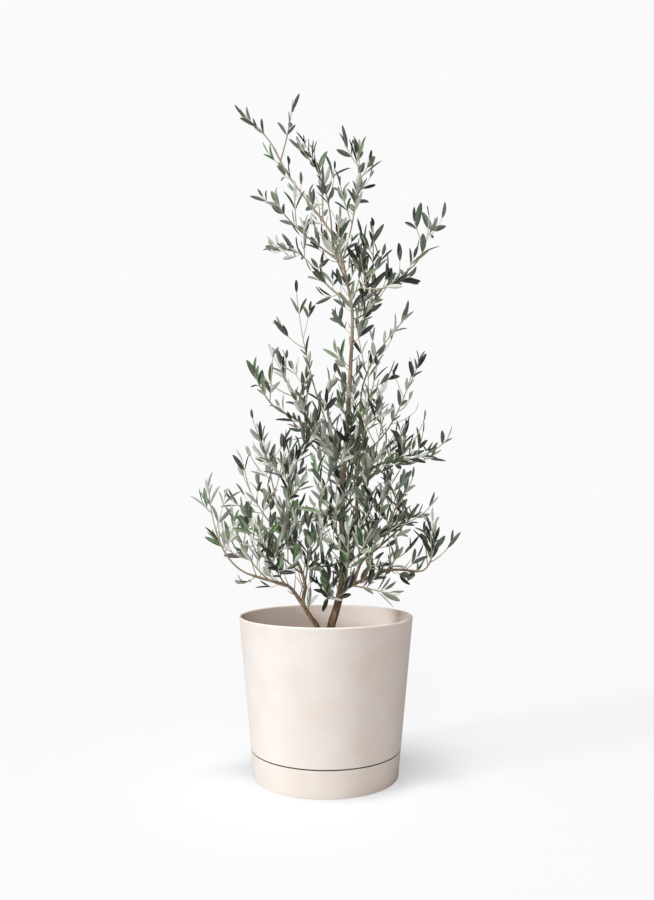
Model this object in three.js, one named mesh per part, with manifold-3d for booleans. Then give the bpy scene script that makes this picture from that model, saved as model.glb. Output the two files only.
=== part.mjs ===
// A young olive tree in a round planter with a saucer, about 1.48 m high.
//
// Units are millimetres. +Z is up and the origin is the middle of the saucer's flat underside.
// The crown is seen from the front along +Y, with +X to the right.
//
// The plant is built as it grows. A trunk and a second stem stand on the soil with flat cuts, boughs
// leave them, and each mass of foliage is one stem that branches by a seeded rule and carries pairs
// of leaves. A shoot or a leaf that would touch anything outside its own mass is skipped.

import * as THREE from 'three';
import { mergeVertices } from 'three/addons/utils/BufferGeometryUtils.js';
import Module from 'manifold-3d';

const wasm = await Module();
wasm.setup();

// Planter
const GAP = 0.3;                    // clearance between pieces that rest on each other
const SAUCER_BASE_RADIUS = 148;
const SAUCER_HEIGHT = 53;
const SAUCER_WALL = 6;
const SAUCER_FLOOR = 5;
const SEAM_HEIGHT = 2.2;            // shadow line between saucer and pot
const POT_SEAM_RADIUS = 153.5;
const POT_RIM_RADIUS = 180;
const POT_HEIGHT = 319;             // rim above the ground
const POT_WALL = 4.6;
const POT_FLOOR = 7;
const FOOT_CLEARANCE = 3;           // between the pot's recessed foot and the saucer's wall
const SHOULDER_RISE = 12;           // from the seam up to where the pot's inside leaves the wall's line
const SHOULDER_DEPTH = 6;           // from the seam down to where its foot starts
const RIM_ROUND = 1.6;              // softened edge of the rim
const EDGE_ROUND = 0.8;             // softened edges at the seam and the base
const SOIL_DROP = 70;               // soil surface below the rim
const SOIL_FALL = 4;                // how much lower the soil lies at the wall
const SOIL_LEVEL_SHARE = 0.55;      // share of the radius over which it is level
const ROUND_SEGMENTS = 40;

// Limbs
const STEM_SIDES = 8;
const BOUGH_SIDES = 6;
const TWIG_SIDES = 3;
const LIMB_STEP = 42;               // length of one straight piece of a stem or bough
const TWIG_STEP = 80;               // length of one straight piece of a shoot
const TAPER_POWER = 1.5;            // limbs thin faster near their foot
const FLARE_HEIGHT = 30;            // height over which the root flare dies out
const FLARE_GIRTH = 1.4;            // radius at the soil over the radius above the flare

// Shoots and leaves
const MASS_FOOT_RADIUS = 2.2;       // where a mass's stem leaves a stem or the side of a bough
const SHOOT_RADIUS = 1.5;
const SHOOT_TIP_RADIUS = 1.1;
const SHOOTS_ALONG = [0.21, 0.9];   // shares of a stem between which its side shoots leave it
const SHOOT_LENGTHS = [1.2, 0.75];  // length of a side shoot at a stem's foot and tip, over its spread
const LENGTH_DRAW = [0.8, 1.2];
const SHOOT_LEAN = [38, 56];        // degrees between a side shoot and its stem
const SHOOT_REACH = 0.85;           // how far a side shoot reaches outwards, as a share of its length
const SHOOT_RISE = 0.26;            // how far it turns up
const LEAF_LENGTH = 56;
const LEAF_SIZES = [0.85, 1.1];
const TIP_LEAF_SIZE = 0.82;         // the youngest pair, at a twig's tip, is smaller
const LEAF_WIDTH = 15;
const LEAF_THICKNESS = 1.4;
const LEAF_WIDEST = 0.45;           // where along the leaf it is widest
const LEAF_LEAN = [40, 58];         // degrees between a leaf and its shoot
const TIP_LEAF_LEAN = [12, 22];
const LEAF_PAIR_STEP = 32;          // distance between pairs of leaves along a shoot
const TIP_PAIR_SHARE = 0.985;       // where the last pair sits along its twig
const LEAF_ROOT_SINK = 0.3;         // how far a leaf's root reaches past its shoot's middle line
const LEAF_FREE_FROM = 0.25;        // share of a leaf past which it keeps off its own mass
const LEAF_CROWDING = 1.03;         // how near it may come there, as a share of both half widths
const STEM_LEAFLESS_SHARE = 0.3;    // share of a mass's stem below its first leaves
const SHOOT_LEAFLESS_SHARE = 0.15;
const LEAF_TURN_DRAW = 0.5;         // how far a leaf strays from its pair's turn, both ways, in radians
const LEAF_SWINGS = [0, 0.6, -0.6, 1.1, -1.1];   // turns that it then tries about its shoot
const LEAF_ROLL_DRAW = 1.4;         // how far it is rolled about its rib, both ways together
const ONWARD_SHARE = 0.4;           // how long a mass's stem holds the direction of the limb it ends
const BELT_HALF_WIDTH = Math.sin(Math.PI / 3);   // of a triangle in a circle of radius 1
const BELT_DEPTH = 1.5;
const RIM_CLEARANCE = 14;           // free space that leaves keep over the pot's rim
const GOLDEN_TURN = THREE.MathUtils.degToRad(137.5);

const UP = new THREE.Vector3(0, 0, 1);
const SOIL_TOP = POT_HEIGHT - SOIL_DROP;

// The middle lines of the two stems, from below the soil's surface up
const STEMS = [
  {
    name: 'trunk', foot: 9.2, end: 1.9,
    path: [
      [-2, 0, 235], [9, 0, 290], [24, 2, 340], [34, 6, 385], [36, 8, 440], [34, 7, 560], [45, 2, 715],
      [53, 0, 850], [56, 0, 970], [42, 0, 1046], [33, 6, 1090], [8, 12, 1150], [-40, 16, 1217],
      [-87, 18, 1284], [-115, 20, 1340],
    ],
  },
  {
    name: 'left_stem', foot: 6.6, end: 2.2,
    path: [
      [-6, -18, 235], [-18, -22, 297], [-33, -25, 320], [-47, -28, 346], [-43, -22, 380],
      [-52, -10, 412], [-76, -4, 462], [-94, 0, 520],
    ],
  },
];

// Each bough leaves its parent at a height, or some way along it, and passes through its points
const BOUGHS = [
  { name: 'right_stem', on: 'trunk', height: 405, foot: 4.6, end: 2.6,
    path: [[60, 16, 470], [67, 22, 590], [75, 20, 772]] },
  { name: 'low_left_bough', on: 'left_stem', height: 342, foot: 4.2, end: 2.6,
    path: [[-78, -36, 382], [-106, -42, 391], [-150, -46, 404]] },
  { name: 'low_right_bough', on: 'trunk', height: 328, foot: 4.8, end: 2.4,
    path: [[36, -34, 372], [68, -50, 392], [132, -46, 415], [188, -42, 412]] },
  { name: 'right_diagonal_bough', on: 'low_right_bough', along: 0.38, foot: 3.4, end: 2.2,
    path: [[74, -36, 432], [107, -20, 458], [146, 0, 490]] },
  { name: 'right_arm_bough', on: 'right_stem', height: 590, foot: 3.0, end: 2.0,
    path: [[112, 26, 634], [170, 20, 643]] },
  { name: 'left_middle_bough', on: 'trunk', height: 600, foot: 3.6, end: 2.2,
    path: [[-10, -8, 675], [-55, -30, 721], [-97, -52, 743]] },
  { name: 'high_left_bough', on: 'trunk', height: 1072, foot: 2.8, end: 1.8,
    path: [[-12, -14, 1103], [-43, -36, 1120]] },
  { name: 'waist_left_bough', on: 'trunk', height: 980, foot: 2.8, end: 1.8,
    path: [[4, 12, 1026], [-29, 34, 1075]] },
  { name: 'high_right_bough', on: 'trunk', height: 976, foot: 3.2, end: 1.8,
    path: [[99, 12, 1008], [149, 28, 1039], [189, 40, 1075]] },
  { name: 'back_right_bough', on: 'trunk', height: 470, foot: 3.6, end: 2.2,
    path: [[58, 72, 530], [86, 122, 580]] },
];

// Each mass of foliage: what its stem starts from, where the stem ends, how far its middle is pushed
// off the straight line, how many side shoots it has and how long they are
const MASSES = [
  { name: 'top_left_foliage', on: 'trunk', along: 1, tip: [-180, 6, 1408],
    shoots: 0, spread: 26, seed: 11 },
  { name: 'top_right_foliage', on: 'trunk', height: 1312, tip: [-76, 44, 1470], bend: [4, 0, 0],
    shoots: 0, spread: 30, seed: 12 },
  { name: 'high_middle_foliage', on: 'trunk', height: 1142, tip: [-46, -40, 1322], bend: [14, 0, 0],
    shoots: 3, spread: 66, seed: 14 },
  { name: 'high_upright_foliage', on: 'trunk', height: 1080, tip: [77, 62, 1370], bend: [8, 0, -14],
    shoots: 4, spread: 62, seed: 116 },
  { name: 'high_small_foliage', on: 'high_right_bough', along: 0.32, tip: [101, -26, 1144], bend: [2, 0, 0],
    shoots: 1, spread: 56, seed: 17 },
  { name: 'high_right_foliage', on: 'high_right_bough', along: 1, tip: [234, 62, 1204],
    shoots: 2, spread: 66, seed: 118 },
  { name: 'right_of_trunk_foliage', on: 'trunk', height: 1000, tip: [102, -70, 1032], bend: [0, -10, -8],
    shoots: 4, spread: 74, seed: 20 },
  { name: 'waist_right_foliage', on: 'trunk', height: 950, tip: [108, 40, 1004], bend: [0, 4, -12],
    shoots: 4, spread: 70, seed: 21 },
  { name: 'high_left_foliage', on: 'high_left_bough', along: 1, tip: [-102, -80, 1170],
    shoots: 3, spread: 62, seed: 22 },
  { name: 'waist_left_foliage', on: 'waist_left_bough', along: 1, tip: [-84, 70, 1136],
    shoots: 2, spread: 62, seed: 24 },
  { name: 'high_front_foliage', on: 'trunk', height: 1030, tip: [0, -112, 1104], bend: [0, -10, -10],
    shoots: 3, spread: 74, seed: 25 },
  { name: 'high_back_foliage', on: 'trunk', height: 1056, tip: [24, 118, 1155], bend: [0, 10, -10],
    shoots: 3, spread: 74, seed: 26 },
  { name: 'upper_back_foliage', on: 'trunk', height: 1172, tip: [-10, 96, 1277], bend: [0, 14, -6],
    shoots: 2, spread: 66, seed: 27 },
  { name: 'left_tall_foliage', on: 'trunk', height: 640, tip: [-66, 40, 1021], bend: [-14, -10, -20],
    shoots: 2, spread: 70, seed: 130 },
  { name: 'left_upper_foliage', on: 'left_middle_bough', along: 0.5, tip: [-113, 30, 870],
    bend: [0, 0, 0], shoots: 3, spread: 74, seed: 31 },
  { name: 'left_outer_foliage', on: 'left_middle_bough', along: 1, tip: [-138, -84, 799],
    shoots: 2, spread: 70, seed: 32 },
  { name: 'trunk_shoot_foliage', on: 'trunk', height: 640, tip: [-44, -66, 740], bend: [-4, -14, -8],
    shoots: 3, spread: 72, seed: 33 },
  { name: 'right_tall_foliage', on: 'right_stem', along: 1, tip: [161, 56, 944],
    shoots: 3, spread: 72, seed: 34 },
  { name: 'far_right_foliage', on: 'right_stem', height: 650, tip: [196, 74, 855], bend: [10, 6, -26],
    shoots: 3, spread: 70, seed: 35 },
  { name: 'right_arm_foliage', on: 'right_arm_bough', along: 1, tip: [229, 44, 666],
    shoots: 3, spread: 62, seed: 36 },
  { name: 'right_cluster_foliage', on: 'right_arm_bough', along: 0.7, tip: [174, -20, 668],
    bend: [4, 0, -4], shoots: 4, spread: 70, seed: 37 },
  { name: 'right_edge_foliage', on: 'right_diagonal_bough', along: 1, tip: [184, 44, 520],
    shoots: 4, spread: 60, seed: 38 },
  { name: 'right_mid_foliage', on: 'right_diagonal_bough', along: 0.7, tip: [158, 10, 588],
    bend: [4, 0, -6], shoots: 4, spread: 70, seed: 39 },
  { name: 'low_right_foliage', on: 'low_right_bough', along: 1, tip: [222, -46, 470],
    shoots: 4, spread: 62, seed: 40 },
  { name: 'low_right_inner_foliage', on: 'low_right_bough', along: 0.68, tip: [140, -76, 450],
    bend: [4, 0, -4], shoots: 2, spread: 60, seed: 41 },
  { name: 'low_right_drooping_foliage', on: 'low_right_bough', along: 0.36, tip: [122, -84, 372],
    bend: [0, -6, 2], shoots: 1, spread: 46, seed: 42 },
  { name: 'low_middle_foliage', on: 'trunk', height: 352, tip: [-16, -62, 388], bend: [0, -4, -6],
    shoots: 3, spread: 68, seed: 43 },
  { name: 'low_left_foliage', on: 'low_left_bough', along: 0.45, tip: [-114, -112, 456],
    bend: [0, -8, -4], shoots: 4, spread: 76, seed: 60 },
  { name: 'low_centre_foliage', on: 'left_stem', height: 385, tip: [-30, -108, 478],
    bend: [0, -10, -6], shoots: 4, spread: 76, seed: 61 },
  { name: 'low_right_centre_foliage', on: 'low_right_bough', along: 0.5, tip: [92, -118, 462],
    bend: [0, -10, -4], shoots: 3, spread: 76, seed: 62 },
  { name: 'far_left_foliage', on: 'low_left_bough', along: 1, tip: [-241, -50, 582],
    shoots: 2, spread: 36, seed: 44 },
  { name: 'left_spray_foliage', on: 'low_left_bough', along: 0.72, tip: [-190, -14, 492],
    bend: [-4, 0, -8], shoots: 4, spread: 70, seed: 45 },
  { name: 'left_crown_foliage', on: 'left_stem', along: 1, tip: [-139, 52, 698],
    shoots: 4, spread: 80, seed: 46 },
  { name: 'left_side_foliage', on: 'left_stem', height: 470, tip: [-182, 60, 612], bend: [-6, 6, -10],
    shoots: 4, spread: 76, seed: 47 },
  { name: 'left_middle_foliage', on: 'left_stem', height: 490, tip: [-74, -84, 660], bend: [4, -10, -6],
    shoots: 4, spread: 80, seed: 48 },
  { name: 'front_foliage', on: 'trunk', height: 450, tip: [-20, -122, 622], bend: [4, -20, -20],
    shoots: 4, spread: 84, seed: 49 },
  { name: 'right_front_foliage', on: 'low_right_bough', along: 0.3, tip: [44, -128, 500],
    bend: [0, -14, -4], shoots: 4, spread: 80, seed: 50 },
  { name: 'right_centre_foliage', on: 'right_diagonal_bough', along: 0.3, tip: [112, -96, 560],
    bend: [6, -12, -6], shoots: 4, spread: 76, seed: 51 },
  { name: 'right_back_foliage', on: 'right_stem', height: 560, tip: [122, 90, 712], bend: [4, 10, -8],
    shoots: 4, spread: 80, seed: 52 },
  { name: 'upper_front_foliage', on: 'right_stem', height: 660, tip: [82, -60, 764], bend: [6, -12, -4],
    shoots: 4, spread: 78, seed: 153 },
  { name: 'back_left_foliage', on: 'left_stem', height: 430, tip: [-96, 130, 540], bend: [0, 20, -10],
    shoots: 4, spread: 88, seed: 54 },
  { name: 'back_right_foliage', on: 'back_right_bough', along: 1, tip: [98, 150, 620],
    shoots: 4, spread: 88, seed: 55 },
  { name: 'back_middle_foliage', on: 'trunk', height: 560, tip: [4, 100, 690], bend: [0, 14, -10],
    shoots: 4, spread: 84, seed: 56 },
  { name: 'left_front_foliage', on: 'left_stem', height: 405, tip: [-150, -100, 520], bend: [0, -14, -8],
    shoots: 4, spread: 78, seed: 57 },
  { name: 'right_inner_foliage', on: 'right_stem', height: 730, tip: [105, -66, 834], bend: [4, -6, -4],
    shoots: 2, spread: 68, seed: 58 },
];

// A seeded draw: each call gives the next number between 0 and 1
function seededDraws(seed) {
  let state = seed >>> 0;
  return () => {
    state = (Math.imul(state, 1664525) + 1013904223) >>> 0;
    return state / 4294967296;
  };
}

function between(range, share) {
  return range[0] + (range[1] - range[0]) * share;
}

// Only positions are kept, and vertices in one place become one vertex
function shared(geometry) {
  geometry.deleteAttribute('normal');
  geometry.deleteAttribute('uv');
  return mergeVertices(geometry);
}

function solidOf(geometry) {
  return new wasm.Manifold(new wasm.Mesh({
    numProp: 3,
    vertProperties: new Float32Array(geometry.attributes.position.array),
    triVerts: new Uint32Array(geometry.index.array),
  }));
}

function geometryOf(solid) {
  const mesh = solid.getMesh();
  const geometry = new THREE.BufferGeometry();
  geometry.setAttribute('position', new THREE.BufferAttribute(new Float32Array(mesh.vertProperties), 3));
  geometry.setIndex(new THREE.BufferAttribute(new Uint32Array(mesh.triVerts), 1));
  return geometry;
}

// The largest body of a solid: what a cut leaves loose beside it is dropped
function largestBody(solid) {
  const bodies = solid.decompose();
  return bodies.reduce((best, body) => (body.volume() > best.volume() ? body : best));
}

// A tapering tube: a closed cylinder bent along a curve
function tubeAlong(curve, radiusAt, sides, steps) {
  const tube = shared(new THREE.CylinderGeometry(1, 1, 1, sides, steps));
  const frames = curve.computeFrenetFrames(steps, false);
  const corners = tube.attributes.position;
  for (let i = 0; i < corners.count; i += 1) {
    const step = Math.round((corners.getY(i) + 0.5) * steps);
    const share = step / steps;
    const radius = radiusAt(share);
    const corner = curve.getPointAt(share)
      .addScaledVector(frames.normals[step], corners.getX(i) * radius)
      .addScaledVector(frames.binormals[step], -corners.getZ(i) * radius);
    corners.setXYZ(i, corner.x, corner.y, corner.z);
  }
  return tube;
}

function stepsFor(curve, step) {
  return Math.max(2, Math.round(curve.getLength() / step));
}

// A limb's radius along its length, with the root flare where it stands on the soil
function taper(curve, foot, end, flared) {
  return (share) => {
    const plain = end + (foot - end) * (1 - share) ** TAPER_POWER;
    const height = curve.getPointAt(share).z - SOIL_TOP;
    const fade = flared ? Math.max(0, 1 - Math.max(0, height) / FLARE_HEIGHT) : 0;
    return plain * (1 + (FLARE_GIRTH - 1) * fade * fade);
  };
}

// The place on a limb that a row names: a share of its length, or the point at a height
function shareOn(limb, row) {
  if (row.along !== undefined) {
    return row.along;
  }
  let low = 0;
  let high = 1;
  for (let i = 0; i < 30; i += 1) {
    const middle = (low + high) / 2;
    if (limb.curve.getPointAt(middle).z < row.height) {
      low = middle;
    } else {
      high = middle;
    }
  }
  return low;
}

// The shortest distance between two straight pieces
function pieceDistance(a, b) {
  const u = a.end.clone().sub(a.start);
  const v = b.end.clone().sub(b.start);
  const w = a.start.clone().sub(b.start);
  const uu = u.dot(u);
  const uv = u.dot(v);
  const vv = v.dot(v);
  const uw = u.dot(w);
  const vw = v.dot(w);
  const spread = uu * vv - uv * uv;
  let s = spread > 1e-6 ? THREE.MathUtils.clamp((uv * vw - vv * uw) / spread, 0, 1) : 0;
  const t = THREE.MathUtils.clamp((uv * s + vw) / vv, 0, 1);
  s = THREE.MathUtils.clamp((uv * t - uw) / uu, 0, 1);
  return w.addScaledVector(u, s).addScaledVector(v, -t).length();
}

// Everything that has grown so far, as straight pieces with a radius
const grown = [];

function piecesOf(curve, radiusAt, steps, owner) {
  const pieces = [];
  for (let i = 0; i < steps; i += 1) {
    pieces.push({
      start: curve.getPointAt(i / steps),
      end: curve.getPointAt((i + 1) / steps),
      radius: Math.max(radiusAt(i / steps), radiusAt((i + 1) / steps)),
      owner,
    });
  }
  return pieces;
}

function clearOfOthers(piece) {
  return grown.every((other) => other.owner === piece.owner
    || pieceDistance(piece, other) > piece.radius + other.radius + GAP);
}

// Inside one mass, the outer part of a leaf keeps off its own twigs and the other leaves
function outerPart(piece) {
  if (!piece.leaf) {
    return piece;
  }
  return { start: piece.start.clone().lerp(piece.end, LEAF_FREE_FROM), end: piece.end };
}

function uncrowded(leaf) {
  const outer = outerPart(leaf);
  return grown.every((other) => other.owner !== leaf.owner
    || pieceDistance(outer, outerPart(other)) > (leaf.radius + other.radius) * LEAF_CROWDING);
}

function clearOfRim(piece) {
  return [piece.start, piece.end].every((point) => point.z > POT_HEIGHT + RIM_CLEARANCE
    || Math.hypot(point.x, point.y) < POT_RIM_RADIUS - POT_WALL - RIM_CLEARANCE);
}

// Two directions across a line, the first of them level
function acrossOf(direction) {
  const level = direction.clone().cross(UP);
  if (level.lengthSq() < 1e-4) {
    level.set(1, 0, 0);
  }
  level.normalize();
  return [level, level.clone().cross(direction).normalize()];
}

function leaning(direction, turn, lean) {
  const [level, steep] = acrossOf(direction);
  const angle = THREE.MathUtils.degToRad(lean);
  return direction.clone().multiplyScalar(Math.cos(angle))
    .addScaledVector(level, Math.cos(turn) * Math.sin(angle))
    .addScaledVector(steep, Math.sin(turn) * Math.sin(angle));
}

// A mass's stem: straight on from the tip of a limb, or bowed out from its side
function massCurve(row, limb) {
  const share = shareOn(limb, row);
  const start = limb.curve.getPointAt(share);
  const tip = new THREE.Vector3(...row.tip);
  if (share === 1) {
    const onward = limb.curve.getTangentAt(1);
    start.addScaledVector(onward, GAP);
    const middle = start.clone().addScaledVector(onward, start.distanceTo(tip) * ONWARD_SHARE);
    return new THREE.QuadraticBezierCurve3(start, middle, tip);
  }
  const middle = start.clone().add(tip).multiplyScalar(0.5)
    .addScaledVector(new THREE.Vector3(...row.bend), 2);
  return new THREE.QuadraticBezierCurve3(start, middle, tip);
}

// Side shoots leave the stem by turns of the golden angle and bend upwards
function growShoots(mass, draw) {
  const firstTurn = draw() * Math.PI * 2;
  for (let i = 0; i < mass.row.shoots; i += 1) {
    const share = between(SHOOTS_ALONG, (i + 0.3 + 0.4 * draw()) / mass.row.shoots);
    const start = mass.stem.curve.getPointAt(share);
    const away = leaning(mass.stem.curve.getTangentAt(share), firstTurn + i * GOLDEN_TURN,
      between(SHOOT_LEAN, draw()));
    const length = mass.row.spread * between(SHOOT_LENGTHS, share) * between(LENGTH_DRAW, draw());
    const middle = start.clone().addScaledVector(away, length / 2);
    const end = start.clone().addScaledVector(away, length * SHOOT_REACH)
      .addScaledVector(UP, length * SHOOT_RISE);
    const curve = new THREE.QuadraticBezierCurve3(start, middle, end);
    const radiusAt = (along) => SHOOT_RADIUS + (SHOOT_TIP_RADIUS - SHOOT_RADIUS) * along;
    const steps = stepsFor(curve, TWIG_STEP);
    const pieces = piecesOf(curve, radiusAt, steps, mass.row.name);
    if (pieces.every((piece) => clearOfOthers(piece) && clearOfRim(piece))) {
      grown.push(...pieces);
      mass.twigs.push({ curve, radiusAt, steps, leafless: SHOOT_LEAFLESS_SHARE, leaves: 0 });
    }
  }
}

// A leaf turns out of the way of what is near, or is left out. Its upper side looks towards its
// shoot's tip, more or less.
function growLeaf(mass, twig, point, tangent, leaf) {
  for (const swing of LEAF_SWINGS) {
    const direction = leaning(tangent, leaf.turn + swing, leaf.lean);
    const root = point.clone().addScaledVector(direction, -LEAF_ROOT_SINK);
    const tip = point.clone().addScaledVector(direction, leaf.length);
    const piece = { start: root, end: tip, radius: LEAF_WIDTH / 2, owner: mass.row.name, leaf: true };
    if (clearOfOthers(piece) && clearOfRim(piece) && uncrowded(piece)) {
      const side = tangent.clone().cross(direction).normalize().applyAxisAngle(direction, leaf.roll);
      grown.push(piece);
      mass.leaves.push({ root, direction, side, length: leaf.length + LEAF_ROOT_SINK });
      twig.leaves += 1;
      return;
    }
  }
}

// Pairs of leaves from the tip of a twig down, each pair a quarter turn from the last
function growLeaves(mass, twig, draw) {
  const length = twig.curve.getLength();
  const firstTurn = draw() * Math.PI;
  const leafyLength = length * (1 - twig.leafless);
  for (let back = 0, pair = 0; back <= leafyLength; back += LEAF_PAIR_STEP, pair += 1) {
    const share = Math.min(TIP_PAIR_SHARE, 1 - back / length);
    const point = twig.curve.getPointAt(share);
    const tangent = twig.curve.getTangentAt(share);
    for (let side = 0; side < 2; side += 1) {
      growLeaf(mass, twig, point, tangent, {
        turn: firstTurn + pair * Math.PI / 2 + side * Math.PI + (draw() - 0.5) * LEAF_TURN_DRAW,
        lean: between(pair === 0 ? TIP_LEAF_LEAN : LEAF_LEAN, draw()),
        length: LEAF_LENGTH * (pair === 0 ? TIP_LEAF_SIZE : 1) * between(LEAF_SIZES, draw()),
        roll: (draw() - 0.5) * LEAF_ROLL_DRAW,
      });
    }
  }
}

// One leaf: a blade that is widest short of its middle, flat above and keeled along its rib below
function leafGeometry(leaf) {
  const blade = shared(new THREE.SphereGeometry(1, 3, 2));
  const face = leaf.direction.clone().cross(leaf.side);
  const corners = blade.attributes.position;
  for (let i = 0; i < corners.count; i += 1) {
    const run = -corners.getY(i);
    const along = run < 0 ? (1 + run) * LEAF_WIDEST : LEAF_WIDEST + run * (1 - LEAF_WIDEST);
    const corner = leaf.root.clone()
      .addScaledVector(leaf.direction, along * leaf.length)
      .addScaledVector(leaf.side, -corners.getZ(i) / BELT_HALF_WIDTH * LEAF_WIDTH / 2)
      .addScaledVector(face, corners.getX(i) / BELT_DEPTH * LEAF_THICKNESS);
    corners.setXYZ(i, corner.x, corner.y, corner.z);
  }
  return blade;
}

// Materials
const resin = new THREE.MeshStandardMaterial({ color: 0xebe4dc, roughness: 0.75, metalness: 0 });
const earth = new THREE.MeshStandardMaterial({ color: 0x3f3128, roughness: 1, metalness: 0 });
const bark = new THREE.MeshStandardMaterial({ color: 0x8c7a68, roughness: 0.9, metalness: 0 });
const foliage = new THREE.MeshStandardMaterial({ color: 0x7f9379, roughness: 0.6, metalness: 0 });

const tree = new THREE.Group();

function addPiece(name, geometry, material) {
  const mesh = new THREE.Mesh(geometry, material.clone());
  mesh.name = name;
  geometry.computeVertexNormals();
  tree.add(mesh);
}

// A lathe turns its profile about Y, and the planter stands along Z
function turned(profile) {
  const points = profile.map(([radius, height]) => new THREE.Vector2(radius, height));
  const geometry = shared(new THREE.LatheGeometry(points, ROUND_SEGMENTS));
  return geometry.rotateX(Math.PI / 2);
}

function outerRadiusAt(height) {
  const seam = SAUCER_HEIGHT + SEAM_HEIGHT;
  return POT_SEAM_RADIUS + (POT_RIM_RADIUS - POT_SEAM_RADIUS) * (height - seam) / (POT_HEIGHT - seam);
}

function innerRadiusAt(height) {
  return outerRadiusAt(height) - POT_WALL;
}

// Saucer: a plain round dish whose wall runs on the line of the pot's wall
function buildSaucer() {
  const top = outerRadiusAt(SAUCER_HEIGHT);
  addPiece('saucer', turned([
    [0, 0],
    [SAUCER_BASE_RADIUS - EDGE_ROUND, 0],
    [SAUCER_BASE_RADIUS, EDGE_ROUND],
    [top, SAUCER_HEIGHT - EDGE_ROUND],
    [top - EDGE_ROUND, SAUCER_HEIGHT],
    [top - SAUCER_WALL, SAUCER_HEIGHT],
    [SAUCER_BASE_RADIUS - SAUCER_WALL, SAUCER_FLOOR],
    [0, SAUCER_FLOOR],
  ]), resin);
}

// Pot: a thin-walled cone on a recessed foot that stands inside the saucer
function buildPot() {
  const seam = SAUCER_HEIGHT + SEAM_HEIGHT;
  const bottom = SAUCER_FLOOR + GAP;
  const foot = SAUCER_BASE_RADIUS - SAUCER_WALL - FOOT_CLEARANCE;
  const floor = bottom + POT_FLOOR;
  addPiece('pot', turned([
    [0, bottom],
    [foot, bottom],
    [outerRadiusAt(seam) - SAUCER_WALL - FOOT_CLEARANCE, seam],
    [outerRadiusAt(seam) - EDGE_ROUND, seam],
    [outerRadiusAt(seam), seam + EDGE_ROUND],
    [POT_RIM_RADIUS, POT_HEIGHT - RIM_ROUND],
    [POT_RIM_RADIUS - RIM_ROUND * 0.4, POT_HEIGHT - RIM_ROUND * 0.3],
    [POT_RIM_RADIUS - RIM_ROUND, POT_HEIGHT],
    [POT_RIM_RADIUS - POT_WALL + RIM_ROUND, POT_HEIGHT],
    [POT_RIM_RADIUS - POT_WALL, POT_HEIGHT - RIM_ROUND],
    [innerRadiusAt(seam + SHOULDER_RISE), seam + SHOULDER_RISE],
    [foot - POT_WALL, seam - SHOULDER_DEPTH],
    [foot - POT_WALL, floor],
    [0, floor],
  ]), resin);
}

// Soil: fills the pot to a level surface that falls a little towards the wall
function buildSoil() {
  const seam = SAUCER_HEIGHT + SEAM_HEIGHT;
  const floor = SAUCER_FLOOR + GAP + POT_FLOOR + GAP;
  const foot = SAUCER_BASE_RADIUS - SAUCER_WALL - FOOT_CLEARANCE - POT_WALL - GAP * 2;
  const edge = SOIL_TOP - SOIL_FALL;
  const knee = seam + SHOULDER_RISE + GAP;
  addPiece('soil', turned([
    [0, floor],
    [foot, floor],
    [foot, seam - SHOULDER_DEPTH],
    [innerRadiusAt(knee) - GAP * 3, knee],
    [innerRadiusAt(edge) - GAP * 3, edge],
    [innerRadiusAt(edge) * SOIL_LEVEL_SHARE, SOIL_TOP - GAP],
    [0, SOIL_TOP - GAP],
  ]), earth);
}

// Everything under the soil's surface is cut off level
function cutAtSoil(solid) {
  const ground = new THREE.BoxGeometry(POT_RIM_RADIUS, POT_RIM_RADIUS, POT_RIM_RADIUS);
  ground.translate(0, 0, SOIL_TOP - POT_RIM_RADIUS / 2);
  return solid.subtract(solidOf(shared(ground)));
}

// Stems and boughs, each with the solid that what grows on it is cut clear of
const limbs = new Map();

function growLimb(row, sides, parent) {
  const path = row.path.map((point) => new THREE.Vector3(...point));
  if (parent) {
    path.unshift(parent.curve.getPointAt(shareOn(parent, row)));
  }
  const curve = new THREE.CatmullRomCurve3(path, false, 'centripetal');
  const radiusAt = taper(curve, row.foot, row.end, !parent);
  const steps = stepsFor(curve, LIMB_STEP);
  const tube = solidOf(tubeAlong(curve, radiusAt, sides, steps));
  const sleeve = solidOf(tubeAlong(curve, (share) => radiusAt(share) + GAP, sides, steps));
  const solid = parent ? largestBody(tube.subtract(parent.sleeve)) : cutAtSoil(tube);
  limbs.set(row.name, { curve, radiusAt, sleeve });
  grown.push(...piecesOf(curve, radiusAt, steps, row.name));
  addPiece(row.name, geometryOf(solid), bark);
}

function startMass(row) {
  const limb = limbs.get(row.on);
  const curve = massCurve(row, limb);
  const foot = row.along === 1 ? limb.radiusAt(1) : MASS_FOOT_RADIUS;
  const radiusAt = (share) => foot + (SHOOT_TIP_RADIUS - foot) * share;
  const steps = stepsFor(curve, TWIG_STEP);
  const stem = { curve, radiusAt, steps, leafless: STEM_LEAFLESS_SHARE, leaves: 0 };
  grown.push(...piecesOf(curve, radiusAt, steps, row.name));
  return { row, limb, stem, twigs: [stem], leaves: [], draw: seededDraws(row.seed) };
}

function massSolid(mass) {
  let solid = null;
  for (const twig of mass.twigs.filter((each) => each === mass.stem || each.leaves > 0)) {
    const tube = solidOf(tubeAlong(twig.curve, twig.radiusAt, TWIG_SIDES, twig.steps));
    solid = solid ? solid.add(tube) : tube;
  }
  for (const leaf of mass.leaves) {
    solid = solid.add(solidOf(leafGeometry(leaf)));
  }
  if (mass.row.along !== 1) {
    solid = solid.subtract(mass.limb.sleeve);
  }
  return largestBody(solid);
}

buildSaucer();
buildPot();
buildSoil();

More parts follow.
